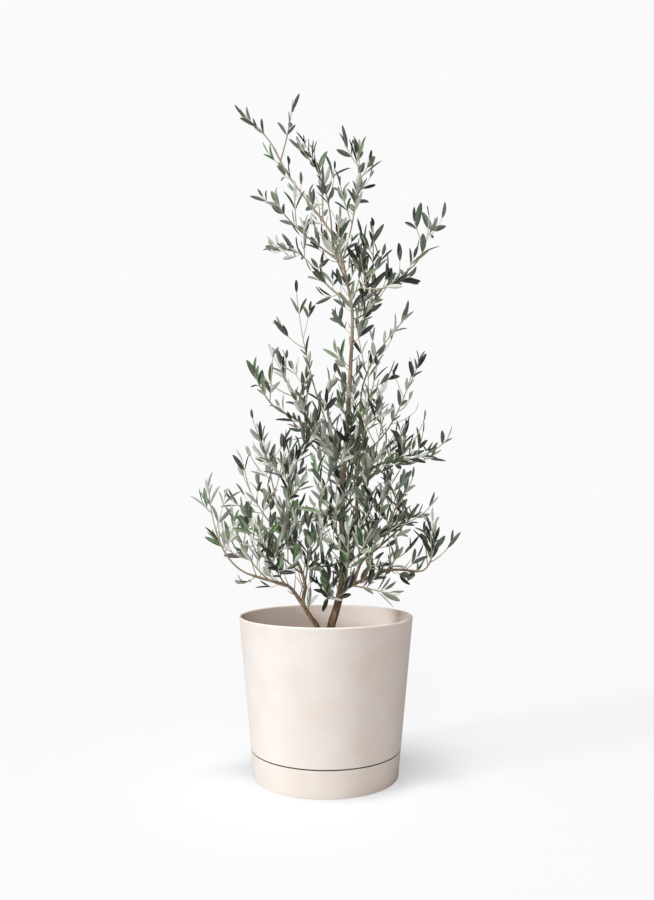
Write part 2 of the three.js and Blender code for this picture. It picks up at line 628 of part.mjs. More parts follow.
for (const row of STEMS) {
  growLimb(row, STEM_SIDES, null);
}
for (const row of BOUGHS) {
  growLimb(row, BOUGH_SIDES, limbs.get(row.on));
}
const masses = MASSES.map(startMass);
for (const mass of masses) {
  growShoots(mass, mass.draw);
}
for (const mass of masses) {
  for (const twig of mass.twigs) {
    growLeaves(mass, twig, mass.draw);
  }
}
for (const mass of masses) {
  addPiece(mass.row.name, geometryOf(massSolid(mass)), foliage);
}

export default tree;
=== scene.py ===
# A young olive tree in a round planter with a saucer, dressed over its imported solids.
#
# The planter is in metres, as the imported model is. The plant's own sizes are in millimetres,
# because it grows here by the same rows and the same rule as its solids do.

import math

import bpy
import numpy as np
from mathutils import Matrix, Vector


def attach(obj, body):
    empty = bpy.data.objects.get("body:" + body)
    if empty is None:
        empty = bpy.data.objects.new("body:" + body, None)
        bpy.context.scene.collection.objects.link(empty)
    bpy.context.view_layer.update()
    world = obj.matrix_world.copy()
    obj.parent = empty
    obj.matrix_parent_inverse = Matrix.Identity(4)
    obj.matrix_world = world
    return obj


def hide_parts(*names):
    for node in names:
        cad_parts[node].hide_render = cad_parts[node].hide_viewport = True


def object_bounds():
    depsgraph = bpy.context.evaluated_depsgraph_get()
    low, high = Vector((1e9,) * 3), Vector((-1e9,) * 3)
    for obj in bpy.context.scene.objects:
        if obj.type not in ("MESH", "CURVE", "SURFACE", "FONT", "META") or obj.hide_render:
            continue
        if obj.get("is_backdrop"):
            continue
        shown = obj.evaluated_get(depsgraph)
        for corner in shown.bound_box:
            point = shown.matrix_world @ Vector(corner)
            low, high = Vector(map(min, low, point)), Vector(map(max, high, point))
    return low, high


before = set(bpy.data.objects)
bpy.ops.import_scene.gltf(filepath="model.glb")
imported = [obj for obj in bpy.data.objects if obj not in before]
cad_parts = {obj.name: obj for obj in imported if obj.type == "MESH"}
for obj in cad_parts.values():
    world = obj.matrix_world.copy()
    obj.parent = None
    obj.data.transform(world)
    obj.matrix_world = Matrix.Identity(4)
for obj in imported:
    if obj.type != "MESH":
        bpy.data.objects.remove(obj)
cad_low, cad_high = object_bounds()

# Studio
# A plain pale floor that runs out into a background of the same tone. A soft light stands low on
# the left, a broad one in front and one hangs overhead, and a weak warm one fills in from the right.
# The camera stands level with the lower crown and looks a little upwards. All angles are in degrees.
CAMERA_PLACE = (0.002, -1.591, 0.530)
CAMERA_PITCH = 94.84
CAMERA_LENS = 30
KEY_AZIMUTH = 62
KEY_ELEVATION = 12
KEY_SPREAD = 13
KEY_STRENGTH = 1.6
FRONT_AZIMUTH = 10
FRONT_ELEVATION = 16
FRONT_SPREAD = 50
FRONT_STRENGTH = 1.03
TOP_AZIMUTH = 30
TOP_ELEVATION = 84
TOP_SPREAD = 12
TOP_STRENGTH = 2.35
FILL_AZIMUTH = -75
FILL_ELEVATION = 10
FILL_SPREAD = 60
FILL_STRENGTH = 0.12
SKY_STRENGTH = 0.22
BACKDROP = 0.966
FLOOR_GLOW = 0.498
FLOOR_SIZE = 60
LIGHT_DISTANCE = 3

bpy.ops.object.select_all(action="DESELECT")
bpy.ops.object.camera_add(location=CAMERA_PLACE, rotation=(math.radians(CAMERA_PITCH), 0, 0))
camera = bpy.context.object
camera.data.lens = CAMERA_LENS
camera.data.sensor_width = 36
bpy.context.scene.camera = camera
bpy.context.scene.view_settings.view_transform = "Standard"


def linear(hex_colour):
    """A colour written as six sRGB hex digits, as the linear values that the shaders take."""
    shares = [int(hex_colour[i:i + 2], 16) / 255 for i in (0, 2, 4)]
    return [s / 12.92 if s <= 0.04045 else ((s + 0.055) / 1.055) ** 2.4 for s in shares] + [1]


def soft_light(name, azimuth, elevation, spread, strength, tint):
    """A far-off broad light, as even on the whole floor as on the plant. Azimuths run to the left."""
    turn = math.radians(azimuth)
    rise = math.radians(elevation)
    way = Vector((-math.sin(turn) * math.cos(rise), -math.cos(turn) * math.cos(rise), math.sin(rise)))
    bpy.ops.object.light_add(type="SUN", location=way * LIGHT_DISTANCE)
    light = bpy.context.object
    light.name = name
    light.rotation_euler = way.to_track_quat("Z", "Y").to_euler()
    light.data.angle = math.radians(spread)
    light.data.energy = strength
    light.data.color = linear(tint)[:3]


soft_light("Key_light", KEY_AZIMUTH, KEY_ELEVATION, KEY_SPREAD, KEY_STRENGTH, "FBFDFF")
soft_light("Top_light", TOP_AZIMUTH, TOP_ELEVATION, TOP_SPREAD, TOP_STRENGTH, "FFFEFB")
soft_light("Front_light", FRONT_AZIMUTH, FRONT_ELEVATION, FRONT_SPREAD, FRONT_STRENGTH, "FFF5EE")
soft_light("Fill_light", FILL_AZIMUTH, FILL_ELEVATION, FILL_SPREAD, FILL_STRENGTH, "FFDCC4")


def add_node(tree, kind, settings=None, links=None):
    """Adds one shader node, sets its properties or sockets by name, and links its inputs."""
    node = tree.nodes.new(kind)
    for name, value in (settings or {}).items():
        if name in node.inputs:
            node.inputs[name].default_value = value
        else:
            setattr(node, name, value)
    for name, source in (links or {}).items():
        tree.links.new(source, node.inputs[name])
    return node


world = bpy.data.worlds.new("Studio")
bpy.context.scene.world = world
world.use_nodes = True
world.node_tree.nodes.clear()
seen = add_node(world.node_tree, "ShaderNodeLightPath")
warm_sky = add_node(world.node_tree, "ShaderNodeBackground",
                    {"Color": linear("FFE8DA"), "Strength": SKY_STRENGTH})
backdrop = add_node(world.node_tree, "ShaderNodeBackground",
                    {"Color": linear("FEFEFF"), "Strength": BACKDROP})
sky = add_node(world.node_tree, "ShaderNodeMixShader", {},
               {0: seen.outputs["Is Camera Ray"], 1: warm_sky.outputs["Background"],
                2: backdrop.outputs["Background"]})
add_node(world.node_tree, "ShaderNodeOutputWorld", {}, {"Surface": sky.outputs["Shader"]})

bpy.ops.mesh.primitive_plane_add(size=FLOOR_SIZE, location=(0, 0, 0))
floor = bpy.context.object
floor.name = "Floor"
floor_paint = bpy.data.materials.new("Floor_matte_white")
floor_paint.use_nodes = True
floor_paint.node_tree.nodes.clear()
floor_matte = add_node(floor_paint.node_tree, "ShaderNodeBsdfDiffuse", {"Color": linear("B0B0B0")})
floor_glow = add_node(floor_paint.node_tree, "ShaderNodeEmission",
                      {"Color": linear("F4F9FF"), "Strength": FLOOR_GLOW})
floor_both = add_node(floor_paint.node_tree, "ShaderNodeAddShader", {},
                      {0: floor_matte.outputs["BSDF"], 1: floor_glow.outputs["Emission"]})
floor_seen = add_node(floor_paint.node_tree, "ShaderNodeLightPath")
floor_mix = add_node(floor_paint.node_tree, "ShaderNodeMixShader", {},
                     {0: floor_seen.outputs["Is Camera Ray"], 1: floor_matte.outputs["BSDF"],
                      2: floor_both.outputs["Shader"]})
add_node(floor_paint.node_tree, "ShaderNodeOutputMaterial", {}, {"Surface": floor_mix.outputs["Shader"]})
floor.data.materials.append(floor_paint)
floor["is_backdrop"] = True

# Saucer
# A plain round dish in which the pot stands, of the same off-white as the pot but a shade warmer.
# It is cast resin with a fine mineral filler, moulded in one piece, so its wall leans on the line
# of the pot's wall and its edges are slightly rounded.
SAUCER_BASE_RADIUS = 0.148
SAUCER_TOP_RADIUS = 0.15328
SAUCER_HEIGHT = 0.053
SAUCER_WALL = 0.006
SAUCER_FLOOR = 0.005
SAUCER_LIP = 0.0016
SAUCER_LIP_DROP = 0.003
SAUCER_EDGE = 0.0007
ROUND_STEPS = 160
# edges that turn by more degrees than this are rounded, and those under the second are shaded smooth
ROUNDED_FROM = 35
SMOOTH_BELOW = 40


def held_profile(profile):
    """The profile with a ring near both ends of each long wall, so that its shading stays straight."""
    long_wall = 0.02
    from_end = 0.002
    held = [profile[0]]
    for (r0, z0), (r1, z1) in zip(profile, profile[1:]):
        span = math.hypot(r1 - r0, z1 - z0)
        if abs(z1 - z0) > long_wall:
            for share in (from_end / span, 1 - from_end / span):
                held.append((r0 + (r1 - r0) * share, z0 + (z1 - z0) * share))
        held.append((r1, z1))
    return held


def face_outwards():
    """Turns all faces of the piece that is being edited outwards, and ends the editing."""
    bpy.ops.mesh.select_all(action="SELECT")
    bpy.ops.mesh.normals_make_consistent(inside=False)
    bpy.ops.object.mode_set(mode="OBJECT")


def turned_piece(name, profile, edge_round):
    """A round piece: a disc drawn out ring by ring along its profile, with softened edges."""
    bpy.ops.object.select_all(action="DESELECT")
    radius, height = profile[0]
    bpy.ops.mesh.primitive_circle_add(vertices=ROUND_STEPS, radius=radius, fill_type="NGON",
                                      location=(0, 0, 0))
    piece = bpy.context.object
    piece.name = name
    bpy.ops.object.mode_set(mode="EDIT")
    bpy.ops.mesh.select_all(action="SELECT")
    bpy.ops.transform.translate(value=(0, 0, height))
    for next_radius, next_height in held_profile(profile)[1:]:
        bpy.ops.mesh.extrude_region_move(
            TRANSFORM_OT_translate={"value": (0, 0, next_height - height)})
        grow = next_radius / radius
        bpy.ops.transform.resize(value=(grow, grow, 1), center_override=(0, 0, next_height))
        radius, height = next_radius, next_height
    face_outwards()
    softened = piece.modifiers.new("Softened edges", "BEVEL")
    softened.width = edge_round
    softened.segments = 3
    softened.limit_method = "ANGLE"
    softened.angle_limit = math.radians(ROUNDED_FROM)
    bpy.ops.object.modifier_apply(modifier=softened.name)
    bpy.ops.object.shade_smooth_by_angle(angle=math.radians(SMOOTH_BELOW))
    return piece


def cast_resin(name, pale, warm, roughness):
    """Cast resin with a mineral filler: an even matte skin, faintly cloudy, with fine grain."""
    material = bpy.data.materials.new(name)
    material.use_nodes = True
    tree = material.node_tree
    surface = tree.nodes["Principled BSDF"]
    place = add_node(tree, "ShaderNodeTexCoord")
    # clouding about 70 mm across
    cloud = add_node(tree, "ShaderNodeTexNoise", {"Scale": 1000 / 70, "Detail": 3},
                     {"Vector": place.outputs["Object"]})
    # filler grains of about 0.3 mm, drawn 1.5 mm wide so that they show
    grain = add_node(tree, "ShaderNodeTexNoise", {"Scale": 1000 / 1.5, "Detail": 2},
                     {"Vector": place.outputs["Object"]})
    tint = add_node(tree, "ShaderNodeValToRGB", {}, {"Fac": cloud.outputs["Fac"]})
    tint.color_ramp.elements[0].position = 0.3
    tint.color_ramp.elements[0].color = linear(warm)
    tint.color_ramp.elements[1].position = 0.7
    tint.color_ramp.elements[1].color = linear(pale)
    speck = add_node(tree, "ShaderNodeMapRange",
                     {"From Min": 0.35, "From Max": 0.65, "To Min": 0.97, "To Max": 1.0},
                     {"Value": grain.outputs["Fac"]})
    toned = add_node(tree, "ShaderNodeVectorMath", {"operation": "SCALE"},
                     {"Vector": tint.outputs["Color"], "Scale": speck.outputs["Result"]})
    relief = add_node(tree, "ShaderNodeBump", {"Strength": 0.12, "Distance": 0.0003},
                      {"Height": grain.outputs["Fac"]})
    dull = add_node(tree, "ShaderNodeMapRange",
                    {"To Min": roughness - 0.05, "To Max": roughness + 0.05},
                    {"Value": cloud.outputs["Fac"]})
    tree.links.new(toned.outputs["Vector"], surface.inputs["Base Color"])
    tree.links.new(relief.outputs["Normal"], surface.inputs["Normal"])
    tree.links.new(dull.outputs["Result"], surface.inputs["Roughness"])
    surface.inputs["IOR"].default_value = 1.5
    return material


saucer = turned_piece("Saucer", [
    (SAUCER_BASE_RADIUS, 0),
    (SAUCER_TOP_RADIUS, SAUCER_HEIGHT),
    (SAUCER_TOP_RADIUS - SAUCER_LIP, SAUCER_HEIGHT),
    (SAUCER_TOP_RADIUS - SAUCER_WALL, SAUCER_HEIGHT - SAUCER_LIP_DROP),
    (SAUCER_BASE_RADIUS - SAUCER_WALL, SAUCER_FLOOR),
], SAUCER_EDGE)
saucer.data.materials.append(cast_resin("Cast_resin_saucer", "F9F6F1", "F4EEE7", 0.6))
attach(saucer, "root")
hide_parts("saucer")

# Pot
# A thin-walled cone with a softly rounded rim, on a recessed foot that stands inside the saucer.
# It is cast in the same off-white resin, and a narrow shadow line is left over the saucer's wall, where
# the recessed foot is painted near-black as painted shade.
POT_FOOT_RADIUS = 0.139
POT_BOTTOM = 0.0053
POT_SEAM = 0.0552
POT_FOOT_TOP_RADIUS = 0.1445
POT_SEAM_RADIUS = 0.1535
POT_RIM_RADIUS = 0.180
POT_HEIGHT = 0.319
POT_WALL = 0.0046
POT_SHOULDER = 0.0672
POT_SHOULDER_RADIUS = 0.1500
POT_INNER_FOOT_RADIUS = 0.1344
POT_INNER_FLOOR = 0.0123
POT_INNER_STEP = 0.006
POT_EDGE = 0.0006
LIP_STEPS = 6


def painted_gap_shade_resin():
    """The recessed foot of the same resin, rough, and painted near-black as the painted shade of the
    narrow gap over the saucer.
    """
    material = bpy.data.materials.new("Cast_resin_foot_painted_gap_shade")
    material.use_nodes = True
    tree = material.node_tree
    surface = tree.nodes["Principled BSDF"]
    place = add_node(tree, "ShaderNodeTexCoord")
    # mottling in the painted shade, about 12 mm across
    stain = add_node(tree, "ShaderNodeTexNoise", {"Scale": 1000 / 12, "Detail": 4},
                     {"Vector": place.outputs["Object"]})
    tint = add_node(tree, "ShaderNodeValToRGB", {}, {"Fac": stain.outputs["Fac"]})
    tint.color_ramp.elements[0].color = linear("15100C")
    tint.color_ramp.elements[1].color = linear("261D17")
    tree.links.new(tint.outputs["Color"], surface.inputs["Base Color"])
    surface.inputs["Roughness"].default_value = 0.9
    return material


# the lip is a half round over the wall
lip = [(POT_RIM_RADIUS - POT_WALL / 2 * (1 - math.cos(math.pi * i / LIP_STEPS)),
        POT_HEIGHT - POT_WALL / 2 * (1 - math.sin(math.pi * i / LIP_STEPS))) for i in range(LIP_STEPS + 1)]
pot = turned_piece("Pot", [
    (POT_FOOT_RADIUS, POT_BOTTOM),
    (POT_FOOT_TOP_RADIUS, POT_SEAM),
    (POT_SEAM_RADIUS, POT_SEAM),
    *lip,
    (POT_SHOULDER_RADIUS, POT_SHOULDER),
    (POT_INNER_FOOT_RADIUS, POT_SEAM - POT_INNER_STEP),
    (POT_INNER_FOOT_RADIUS, POT_INNER_FLOOR),
], POT_EDGE)
pot.data.materials.append(cast_resin("Cast_resin_pot", "FBF9F7", "F5F0EB", 0.58))
pot.data.materials.append(painted_gap_shade_resin())
# the inner wall is a lighter, warmer copy of the pot's resin: painted warm bounce light inside the pot
pot.data.materials.append(cast_resin("Cast_resin_inside_painted_bounce_light", "FFF9F3", "FEF2EA", 0.62))
# the foot's wall and the ledge over it take the painted shade of the gap, and every face that looks
# inwards takes the inner wall's painted bounce light
for face in pot.data.polygons:
    spot = face.center
    out = math.hypot(spot.x, spot.y)
    facing_out = face.normal.x * spot.x + face.normal.y * spot.y
    in_painted_gap_shade = POT_FOOT_RADIUS - 0.001 < out < POT_SEAM_RADIUS - 0.0002
    if spot.z < POT_SEAM + 0.0001 and in_painted_gap_shade:
        face.material_index = 1
    elif facing_out < -0.9 * out:
        face.material_index = 2
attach(pot, "root")
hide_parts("pot")

# Potting compost
# Moist peat compost that fills the pot to well below its rim, level in the middle and a little
# lower at the wall. It was tipped in and pressed by hand, so it is lumpy and strewn with crumbs.
SOIL_TOP = 249
SOIL_RADIUS = 0.1675
SOIL_FOOT_RADIUS = 0.1335
SOIL_BOTTOM = 0.0127
# radius and height of each ring of its side, a little inside the pot's wall
SOIL_SIDE = ((SOIL_FOOT_RADIUS, 0.0490), (0.1490, 0.0676), (SOIL_RADIUS, 0.2445))
SOIL_SIDES = 96
SOIL_RINGS = 26
# the top without its lumps lies this far under SOIL_TOP, and lower still at the wall
SOIL_UNDER_TOP = 0.0012
SOIL_DIP = 0.003
# name, width and height of the two reliefs
SOIL_RELIEFS = (("Lumps", 0.028, 0.0035), ("Crumbs", 0.007, 0.0028))
CRUMB_COUNT = 900
CRUMB_REACH = 0.160
CRUMB_UNDER_TOP = 0.0028
CRUMB_DIP = 0.0035
# radius of the least crumb, and how much the largest has more
CRUMB_RADIUS = 0.0009
CRUMB_GROWTH = 0.0024

bpy.ops.object.select_all(action="DESELECT")
bpy.ops.mesh.primitive_circle_add(vertices=SOIL_SIDES, radius=SOIL_FOOT_RADIUS, fill_type="NGON",
                                  location=(0, 0, 0))
soil = bpy.context.object
soil.name = "Compost"
bpy.ops.object.mode_set(mode="EDIT")
bpy.ops.mesh.select_all(action="SELECT")
bpy.ops.transform.translate(value=(0, 0, SOIL_BOTTOM))
for soil_radius, soil_height in SOIL_SIDE:
    bpy.ops.mesh.extrude_region_move(TRANSFORM_OT_translate={"value": (0, 0, 0.001)})
    bpy.ops.object.mode_set(mode="OBJECT")
    for vertex in soil.data.vertices:
        if vertex.select:
            turn = math.atan2(vertex.co.y, vertex.co.x)
            vertex.co = (soil_radius * math.cos(turn), soil_radius * math.sin(turn), soil_height)
    bpy.ops.object.mode_set(mode="EDIT")
for _ in range(SOIL_RINGS):
    bpy.ops.mesh.inset(thickness=SOIL_RADIUS / (SOIL_RINGS + 1))
bpy.ops.mesh.poke()
face_outwards()
for vertex in soil.data.vertices:
    reach = math.hypot(vertex.co.x, vertex.co.y) / SOIL_RADIUS
    if vertex.co.z > 0.2 and reach < 0.995:
        vertex.co.z = SOIL_TOP * 0.001 - SOIL_UNDER_TOP - SOIL_DIP * max(0, reach - 0.5) * 2
top_group = soil.vertex_groups.new(name="Top")
top_group.add([v.index for v in soil.data.vertices
               if v.co.z > 0.2 and math.hypot(v.co.x, v.co.y) < SOIL_RADIUS * 0.97], 1, "REPLACE")
for lump_name, lump_size, lump_height in SOIL_RELIEFS:
    lump_texture = bpy.data.textures.new(lump_name, "CLOUDS")
    lump_texture.noise_scale = lump_size
    lumps = soil.modifiers.new(lump_name, "DISPLACE")
    lumps.texture = lump_texture
    lumps.texture_coords = "LOCAL"
    lumps.direction = "Z"
    lumps.mid_level = 0.8
    lumps.strength = lump_height
    lumps.vertex_group = "Top"
    bpy.ops.object.modifier_apply(modifier=lumps.name)
bpy.ops.object.shade_smooth_by_angle(angle=math.radians(50))


def seeded_draws(seed):
    """A seeded draw: each call gives the next number between 0 and 1."""
    state = seed

    def draw():
        nonlocal state
        state = (state * 1664525 + 1013904223) % 2 ** 32
        return state / 2 ** 32

    return draw


def joined_mesh(name, corners, faces, face_materials=None):
    """One object from arrays of corners in metres and of faces."""
    mesh = bpy.data.meshes.new(name)
    mesh.from_pydata(corners.tolist(), [], faces)
    if face_materials is not None:
        mesh.polygons.foreach_set("material_index", face_materials)
    mesh.update()
    piece = bpy.data.objects.new(name, mesh)
    bpy.context.scene.collection.objects.link(piece)
    return piece


# the crumbs are one small lump, repeated at many places and sizes, each dented and flattened
bpy.ops.object.select_all(action="DESELECT")
bpy.ops.mesh.primitive_ico_sphere_add(subdivisions=1, radius=1, location=(0, 0, 0))
lump = bpy.context.object
lump_corners = np.array([v.co for v in lump.data.vertices])
lump_faces = [list(p.vertices) for p in lump.data.polygons]
bpy.data.objects.remove(lump)
crumb_draw = seeded_draws(71)
crumb_corners = []
crumb_faces = []
for _ in range(CRUMB_COUNT):
    crumb_reach = math.sqrt(crumb_draw()) * CRUMB_REACH
    crumb_turn = crumb_draw() * math.tau
    crumb_size = CRUMB_RADIUS + CRUMB_GROWTH * crumb_draw() ** 3
    squash = np.array([0.7 + 0.6 * crumb_draw(), 0.7 + 0.6 * crumb_draw(), 0.45 + 0.4 * crumb_draw()])
    dent = np.array([[0.75 + 0.5 * crumb_draw()] for _ in lump_corners])
    dip = CRUMB_DIP * max(0, crumb_reach / CRUMB_REACH - 0.5) * 2
    height = SOIL_TOP * 0.001 - CRUMB_UNDER_TOP - dip
    centre = np.array([crumb_reach * math.cos(crumb_turn), crumb_reach * math.sin(crumb_turn), height])
    base = len(crumb_corners) * len(lump_corners)
    crumb_corners.append(lump_corners * dent * squash * crumb_size + centre)
    crumb_faces.extend([[base + corner for corner in face] for face in lump_faces])
crumbs = joined_mesh("Compost_crumbs", np.concatenate(crumb_corners), crumb_faces)


def peat(name, dark, light):
    """Moist peat: dark, dull and crumbly, with paler dry fibres."""
    material = bpy.data.materials.new(name)
    material.use_nodes = True
    tree = material.node_tree
    surface = tree.nodes["Principled BSDF"]
    place = add_node(tree, "ShaderNodeTexCoord")
    # crumbs of 4 mm and fibres of 1.2 mm
    crumb_noise = add_node(tree, "ShaderNodeTexNoise", {"Scale": 1000 / 4, "Detail": 6},
                           {"Vector": place.outputs["Object"]})
    fibre_noise = add_node(tree, "ShaderNodeTexVoronoi", {"Scale": 1000 / 1.2},
                           {"Vector": place.outputs["Object"]})
    tint = add_node(tree, "ShaderNodeValToRGB", {}, {"Fac": crumb_noise.outputs["Fac"]})
    tint.color_ramp.elements[0].position = 0.35
    tint.color_ramp.elements[0].color = linear(dark)
    tint.color_ramp.elements[1].position = 0.75
    tint.color_ramp.elements[1].color = linear(light)
    relief = add_node(tree, "ShaderNodeBump", {"Strength": 0.7, "Distance": 0.0012},
                      {"Height": fibre_noise.outputs["Distance"]})
    tree.links.new(tint.outputs["Color"], surface.inputs["Base Color"])
    tree.links.new(relief.outputs["Normal"], surface.inputs["Normal"])
    surface.inputs["Roughness"].default_value = 0.92
    return material


soil.data.materials.append(peat("Moist_peat", "2E2119", "5A4636"))
crumbs.data.materials.append(peat("Peat_crumbs", "33251B", "6B5543"))
for piece in (soil, crumbs):
    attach(piece, "root")
    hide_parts("soil")

# Trunk, second stem and boughs
# Live wood of a few years' growth, each limb tapering from its foot and each bough swollen where
# it leaves its parent. The bark is thin and grey-brown, with low ridges along the limb, and the
# trunk flares a little where it stands in the compost.
GAP = 0.3
TAPER_POWER = 1.5
FLARE_HEIGHT = 30
FLARE_GIRTH = 1.4
COLLAR_GIRTH = 0.45
COLLAR_LENGTH = 9
LIMB_STEP = 3.5
LIMB_SUNK = 8
# the bark's reliefs: width of the pattern in metres, and height as a share of the limb's radius
SWELLING_WIDTH = 0.022
SWELLING_HEIGHT = 0.18
RIDGE_WIDTH = 0.005
RIDGE_HEIGHT = 0.16
RIDGE_STRETCH = 6

STEMS = [
    {"name": "trunk", "foot": 9.2, "end": 1.9,
     "path": [(-2, 0, 235), (9, 0, 290), (24, 2, 340), (34, 6, 385), (36, 8, 440), (34, 7, 560),
              (45, 2, 715), (53, 0, 850), (56, 0, 970), (42, 0, 1046), (33, 6, 1090), (8, 12, 1150),
              (-40, 16, 1217), (-87, 18, 1284), (-115, 20, 1340)]},
    {"name": "left_stem", "foot": 6.6, "end": 2.2,
     "path": [(-6, -18, 235), (-18, -22, 297), (-33, -25, 320), (-47, -28, 346), (-43, -22, 380),
              (-52, -10, 412), (-76, -4, 462), (-94, 0, 520)]},
]
BOUGHS = [
    {"name": "right_stem", "on": "trunk", "height": 405, "foot": 4.6, "end": 2.6,
     "path": [(60, 16, 470), (67, 22, 590), (75, 20, 772)]},
    {"name": "low_left_bough", "on": "left_stem", "height": 342, "foot": 4.2, "end": 2.6,
     "path": [(-78, -36, 382), (-106, -42, 391), (-150, -46, 404)]},
    {"name": "low_right_bough", "on": "trunk", "height": 328, "foot": 4.8, "end": 2.4,
     "path": [(36, -34, 372), (68, -50, 392), (132, -46, 415), (188, -42, 412)]},
    {"name": "right_diagonal_bough", "on": "low_right_bough", "along": 0.38, "foot": 3.4, "end": 2.2,
     "path": [(74, -36, 432), (107, -20, 458), (146, 0, 490)]},
    {"name": "right_arm_bough", "on": "right_stem", "height": 590, "foot": 3.0, "end": 2.0,
     "path": [(112, 26, 634), (170, 20, 643)]},
    {"name": "left_middle_bough", "on": "trunk", "height": 600, "foot": 3.6, "end": 2.2,
     "path": [(-10, -8, 675), (-55, -30, 721), (-97, -52, 743)]},
    {"name": "high_left_bough", "on": "trunk", "height": 1072, "foot": 2.8, "end": 1.8,
     "path": [(-12, -14, 1103), (-43, -36, 1120)]},
    {"name": "waist_left_bough", "on": "trunk", "height": 980, "foot": 2.8, "end": 1.8,
     "path": [(4, 12, 1026), (-29, 34, 1075)]},
    {"name": "high_right_bough", "on": "trunk", "height": 976, "foot": 3.2, "end": 1.8,
     "path": [(99, 12, 1008), (149, 28, 1039), (189, 40, 1075)]},
    {"name": "back_right_bough", "on": "trunk", "height": 470, "foot": 3.6, "end": 2.2,
     "path": [(58, 72, 530), (86, 122, 580)]},
]


def route(point_at):
    """A curve with its length table, so that places on it are named by a share of its length."""
    steps = 200
    points = [point_at(i / steps) for i in range(steps + 1)]
    lengths = [0.0]
    for i in range(steps):
        lengths.append(lengths[-1] + (points[i + 1] - points[i]).length)
    return {"point_at": point_at, "lengths": np.array(lengths), "length": lengths[-1]}


def step_of(curve, share):
    """The curve's own step at a share of its length."""
    lengths = curve["lengths"]
    target = share * curve["length"]
    return float(np.interp(target, lengths, np.linspace(0, 1, len(lengths))))


def place_on(curve, share):
    """The point at a share of a curve's length."""
    return curve["point_at"](step_of(curve, share))


def way_on(curve, share):
    """The direction in which a curve runs at a share of its length."""
    step = step_of(curve, share)
    low = max(0, step - 0.0001)
    high = min(1, step + 0.0001)
    return (curve["point_at"](high) - curve["point_at"](low)).normalized()


def smooth_route(points):
    """A centripetal curve through all the points of a limb."""
    points = [Vector(p) for p in points]

    def point_at(step):
        place = (len(points) - 1) * step
        index = min(int(place), len(points) - 2)
        weight = place - index
        before = points[index - 1] if index > 0 else points[0] * 2 - points[1]
        after = points[index + 2] if index + 2 < len(points) else points[-1] * 2 - points[-2]
        start, end = points[index], points[index + 1]
        gap_0 = (start - before).length ** 0.5
        gap_1 = (end - start).length ** 0.5
        gap_2 = (after - end).length ** 0.5
        pull_0 = ((start - before) / gap_0 - (end - before) / (gap_0 + gap_1)
                  + (end - start) / gap_1) * gap_1
        pull_1 = ((end - start) / gap_1 - (after - start) / (gap_1 + gap_2)
                  + (after - end) / gap_2) * gap_1
        return (start + pull_0 * weight
                + (end * 3 - start * 3 - pull_0 * 2 - pull_1) * weight ** 2
                + (start * 2 - end * 2 + pull_0 + pull_1) * weight ** 3)

    return route(point_at)


def bowed_route(start, middle, end):
    """A simple bow from start to end, drawn towards middle."""
    return route(lambda s: start * (1 - s) ** 2 + middle * (2 * s * (1 - s)) + end * s ** 2)


def taper(curve, foot, end, flared):
    """A limb's radius at any share of its length, with a flare where a stem leaves the compost."""
    def radius_at(share):
        plain = end + (foot - end) * (1 - share) ** TAPER_POWER
        height = place_on(curve, share).z - SOIL_TOP
        fade = max(0, 1 - max(0, height) / FLARE_HEIGHT) if flared else 0
        return plain * (1 + (FLARE_GIRTH - 1) * fade * fade)
    return radius_at


def share_on(limb, row):
    """The place on a limb that a row names: a share of its length, or the point at a height."""
    if "along" in row:
        return row["along"]
    low, high = 0.0, 1.0
    for _ in range(30):
        middle = (low + high) / 2
        if place_on(limb["curve"], middle).z < row["height"]:
            low = middle
        else:
            high = middle
    return low


def bark(name, ridge, furrow, young):
    """Thin bark: dull brown skin with furrows along the limb, and smooth and paler higher up."""
    material = bpy.data.materials.new(name)
    material.use_nodes = True
    tree = material.node_tree
    surface = tree.nodes["Principled BSDF"]
    place = add_node(tree, "ShaderNodeTexCoord")
    # furrows 3 mm apart and 20 mm long, patches 35 mm across
    along = add_node(tree, "ShaderNodeMapping", {"Scale": (1, 1, 0.15)},
                     {"Vector": place.outputs["Object"]})
    furrows = add_node(tree, "ShaderNodeTexNoise", {"Scale": 1000 / 3, "Detail": 5},
                       {"Vector": along.outputs["Vector"]})
    patches = add_node(tree, "ShaderNodeTexNoise", {"Scale": 1000 / 35, "Detail": 3},
                       {"Vector": place.outputs["Object"]})
    tint = add_node(tree, "ShaderNodeValToRGB", {}, {"Fac": furrows.outputs["Fac"]})
    tint.color_ramp.elements[0].position = 0.38
    tint.color_ramp.elements[0].color = linear(furrow)
    tint.color_ramp.elements[1].position = 0.62
    tint.color_ramp.elements[1].color = linear(ridge)
    # the skin grows younger from knee height to the leader
    parts = add_node(tree, "ShaderNodeSeparateXYZ", {}, {"Vector": place.outputs["Object"]})
    youth = add_node(tree, "ShaderNodeMapRange",
                     {"From Min": 0.4, "From Max": 1.05, "To Min": 0, "To Max": 0.85},
                     {"Value": parts.outputs["Z"]})
    aged = add_node(tree, "ShaderNodeMixRGB", {"Color2": linear(young)},
                    {"Fac": youth.outputs["Result"], "Color1": tint.outputs["Color"]})
    shade = add_node(tree, "ShaderNodeMapRange",
                     {"From Min": 0.3, "From Max": 0.7, "To Min": 0.78, "To Max": 1.15},
                     {"Value": patches.outputs["Fac"]})
    toned = add_node(tree, "ShaderNodeVectorMath", {"operation": "SCALE"},
                     {"Vector": aged.outputs["Color"], "Scale": shade.outputs["Result"]})
    relief = add_node(tree, "ShaderNodeBump", {"Strength": 0.5, "Distance": 0.0006},
                      {"Height": furrows.outputs["Fac"]})
    tree.links.new(toned.outputs["Vector"], surface.inputs["Base Color"])
    tree.links.new(relief.outputs["Normal"], surface.inputs["Normal"])
    surface.inputs["Roughness"].default_value = 0.85
    return material


stem_bark = bark("Olive_bark_grown", "A58E76", "66523F", "B3A796")
bough_bark = bark("Olive_bark_young", "AD9B86", "7C6A58", "B2AA9A")

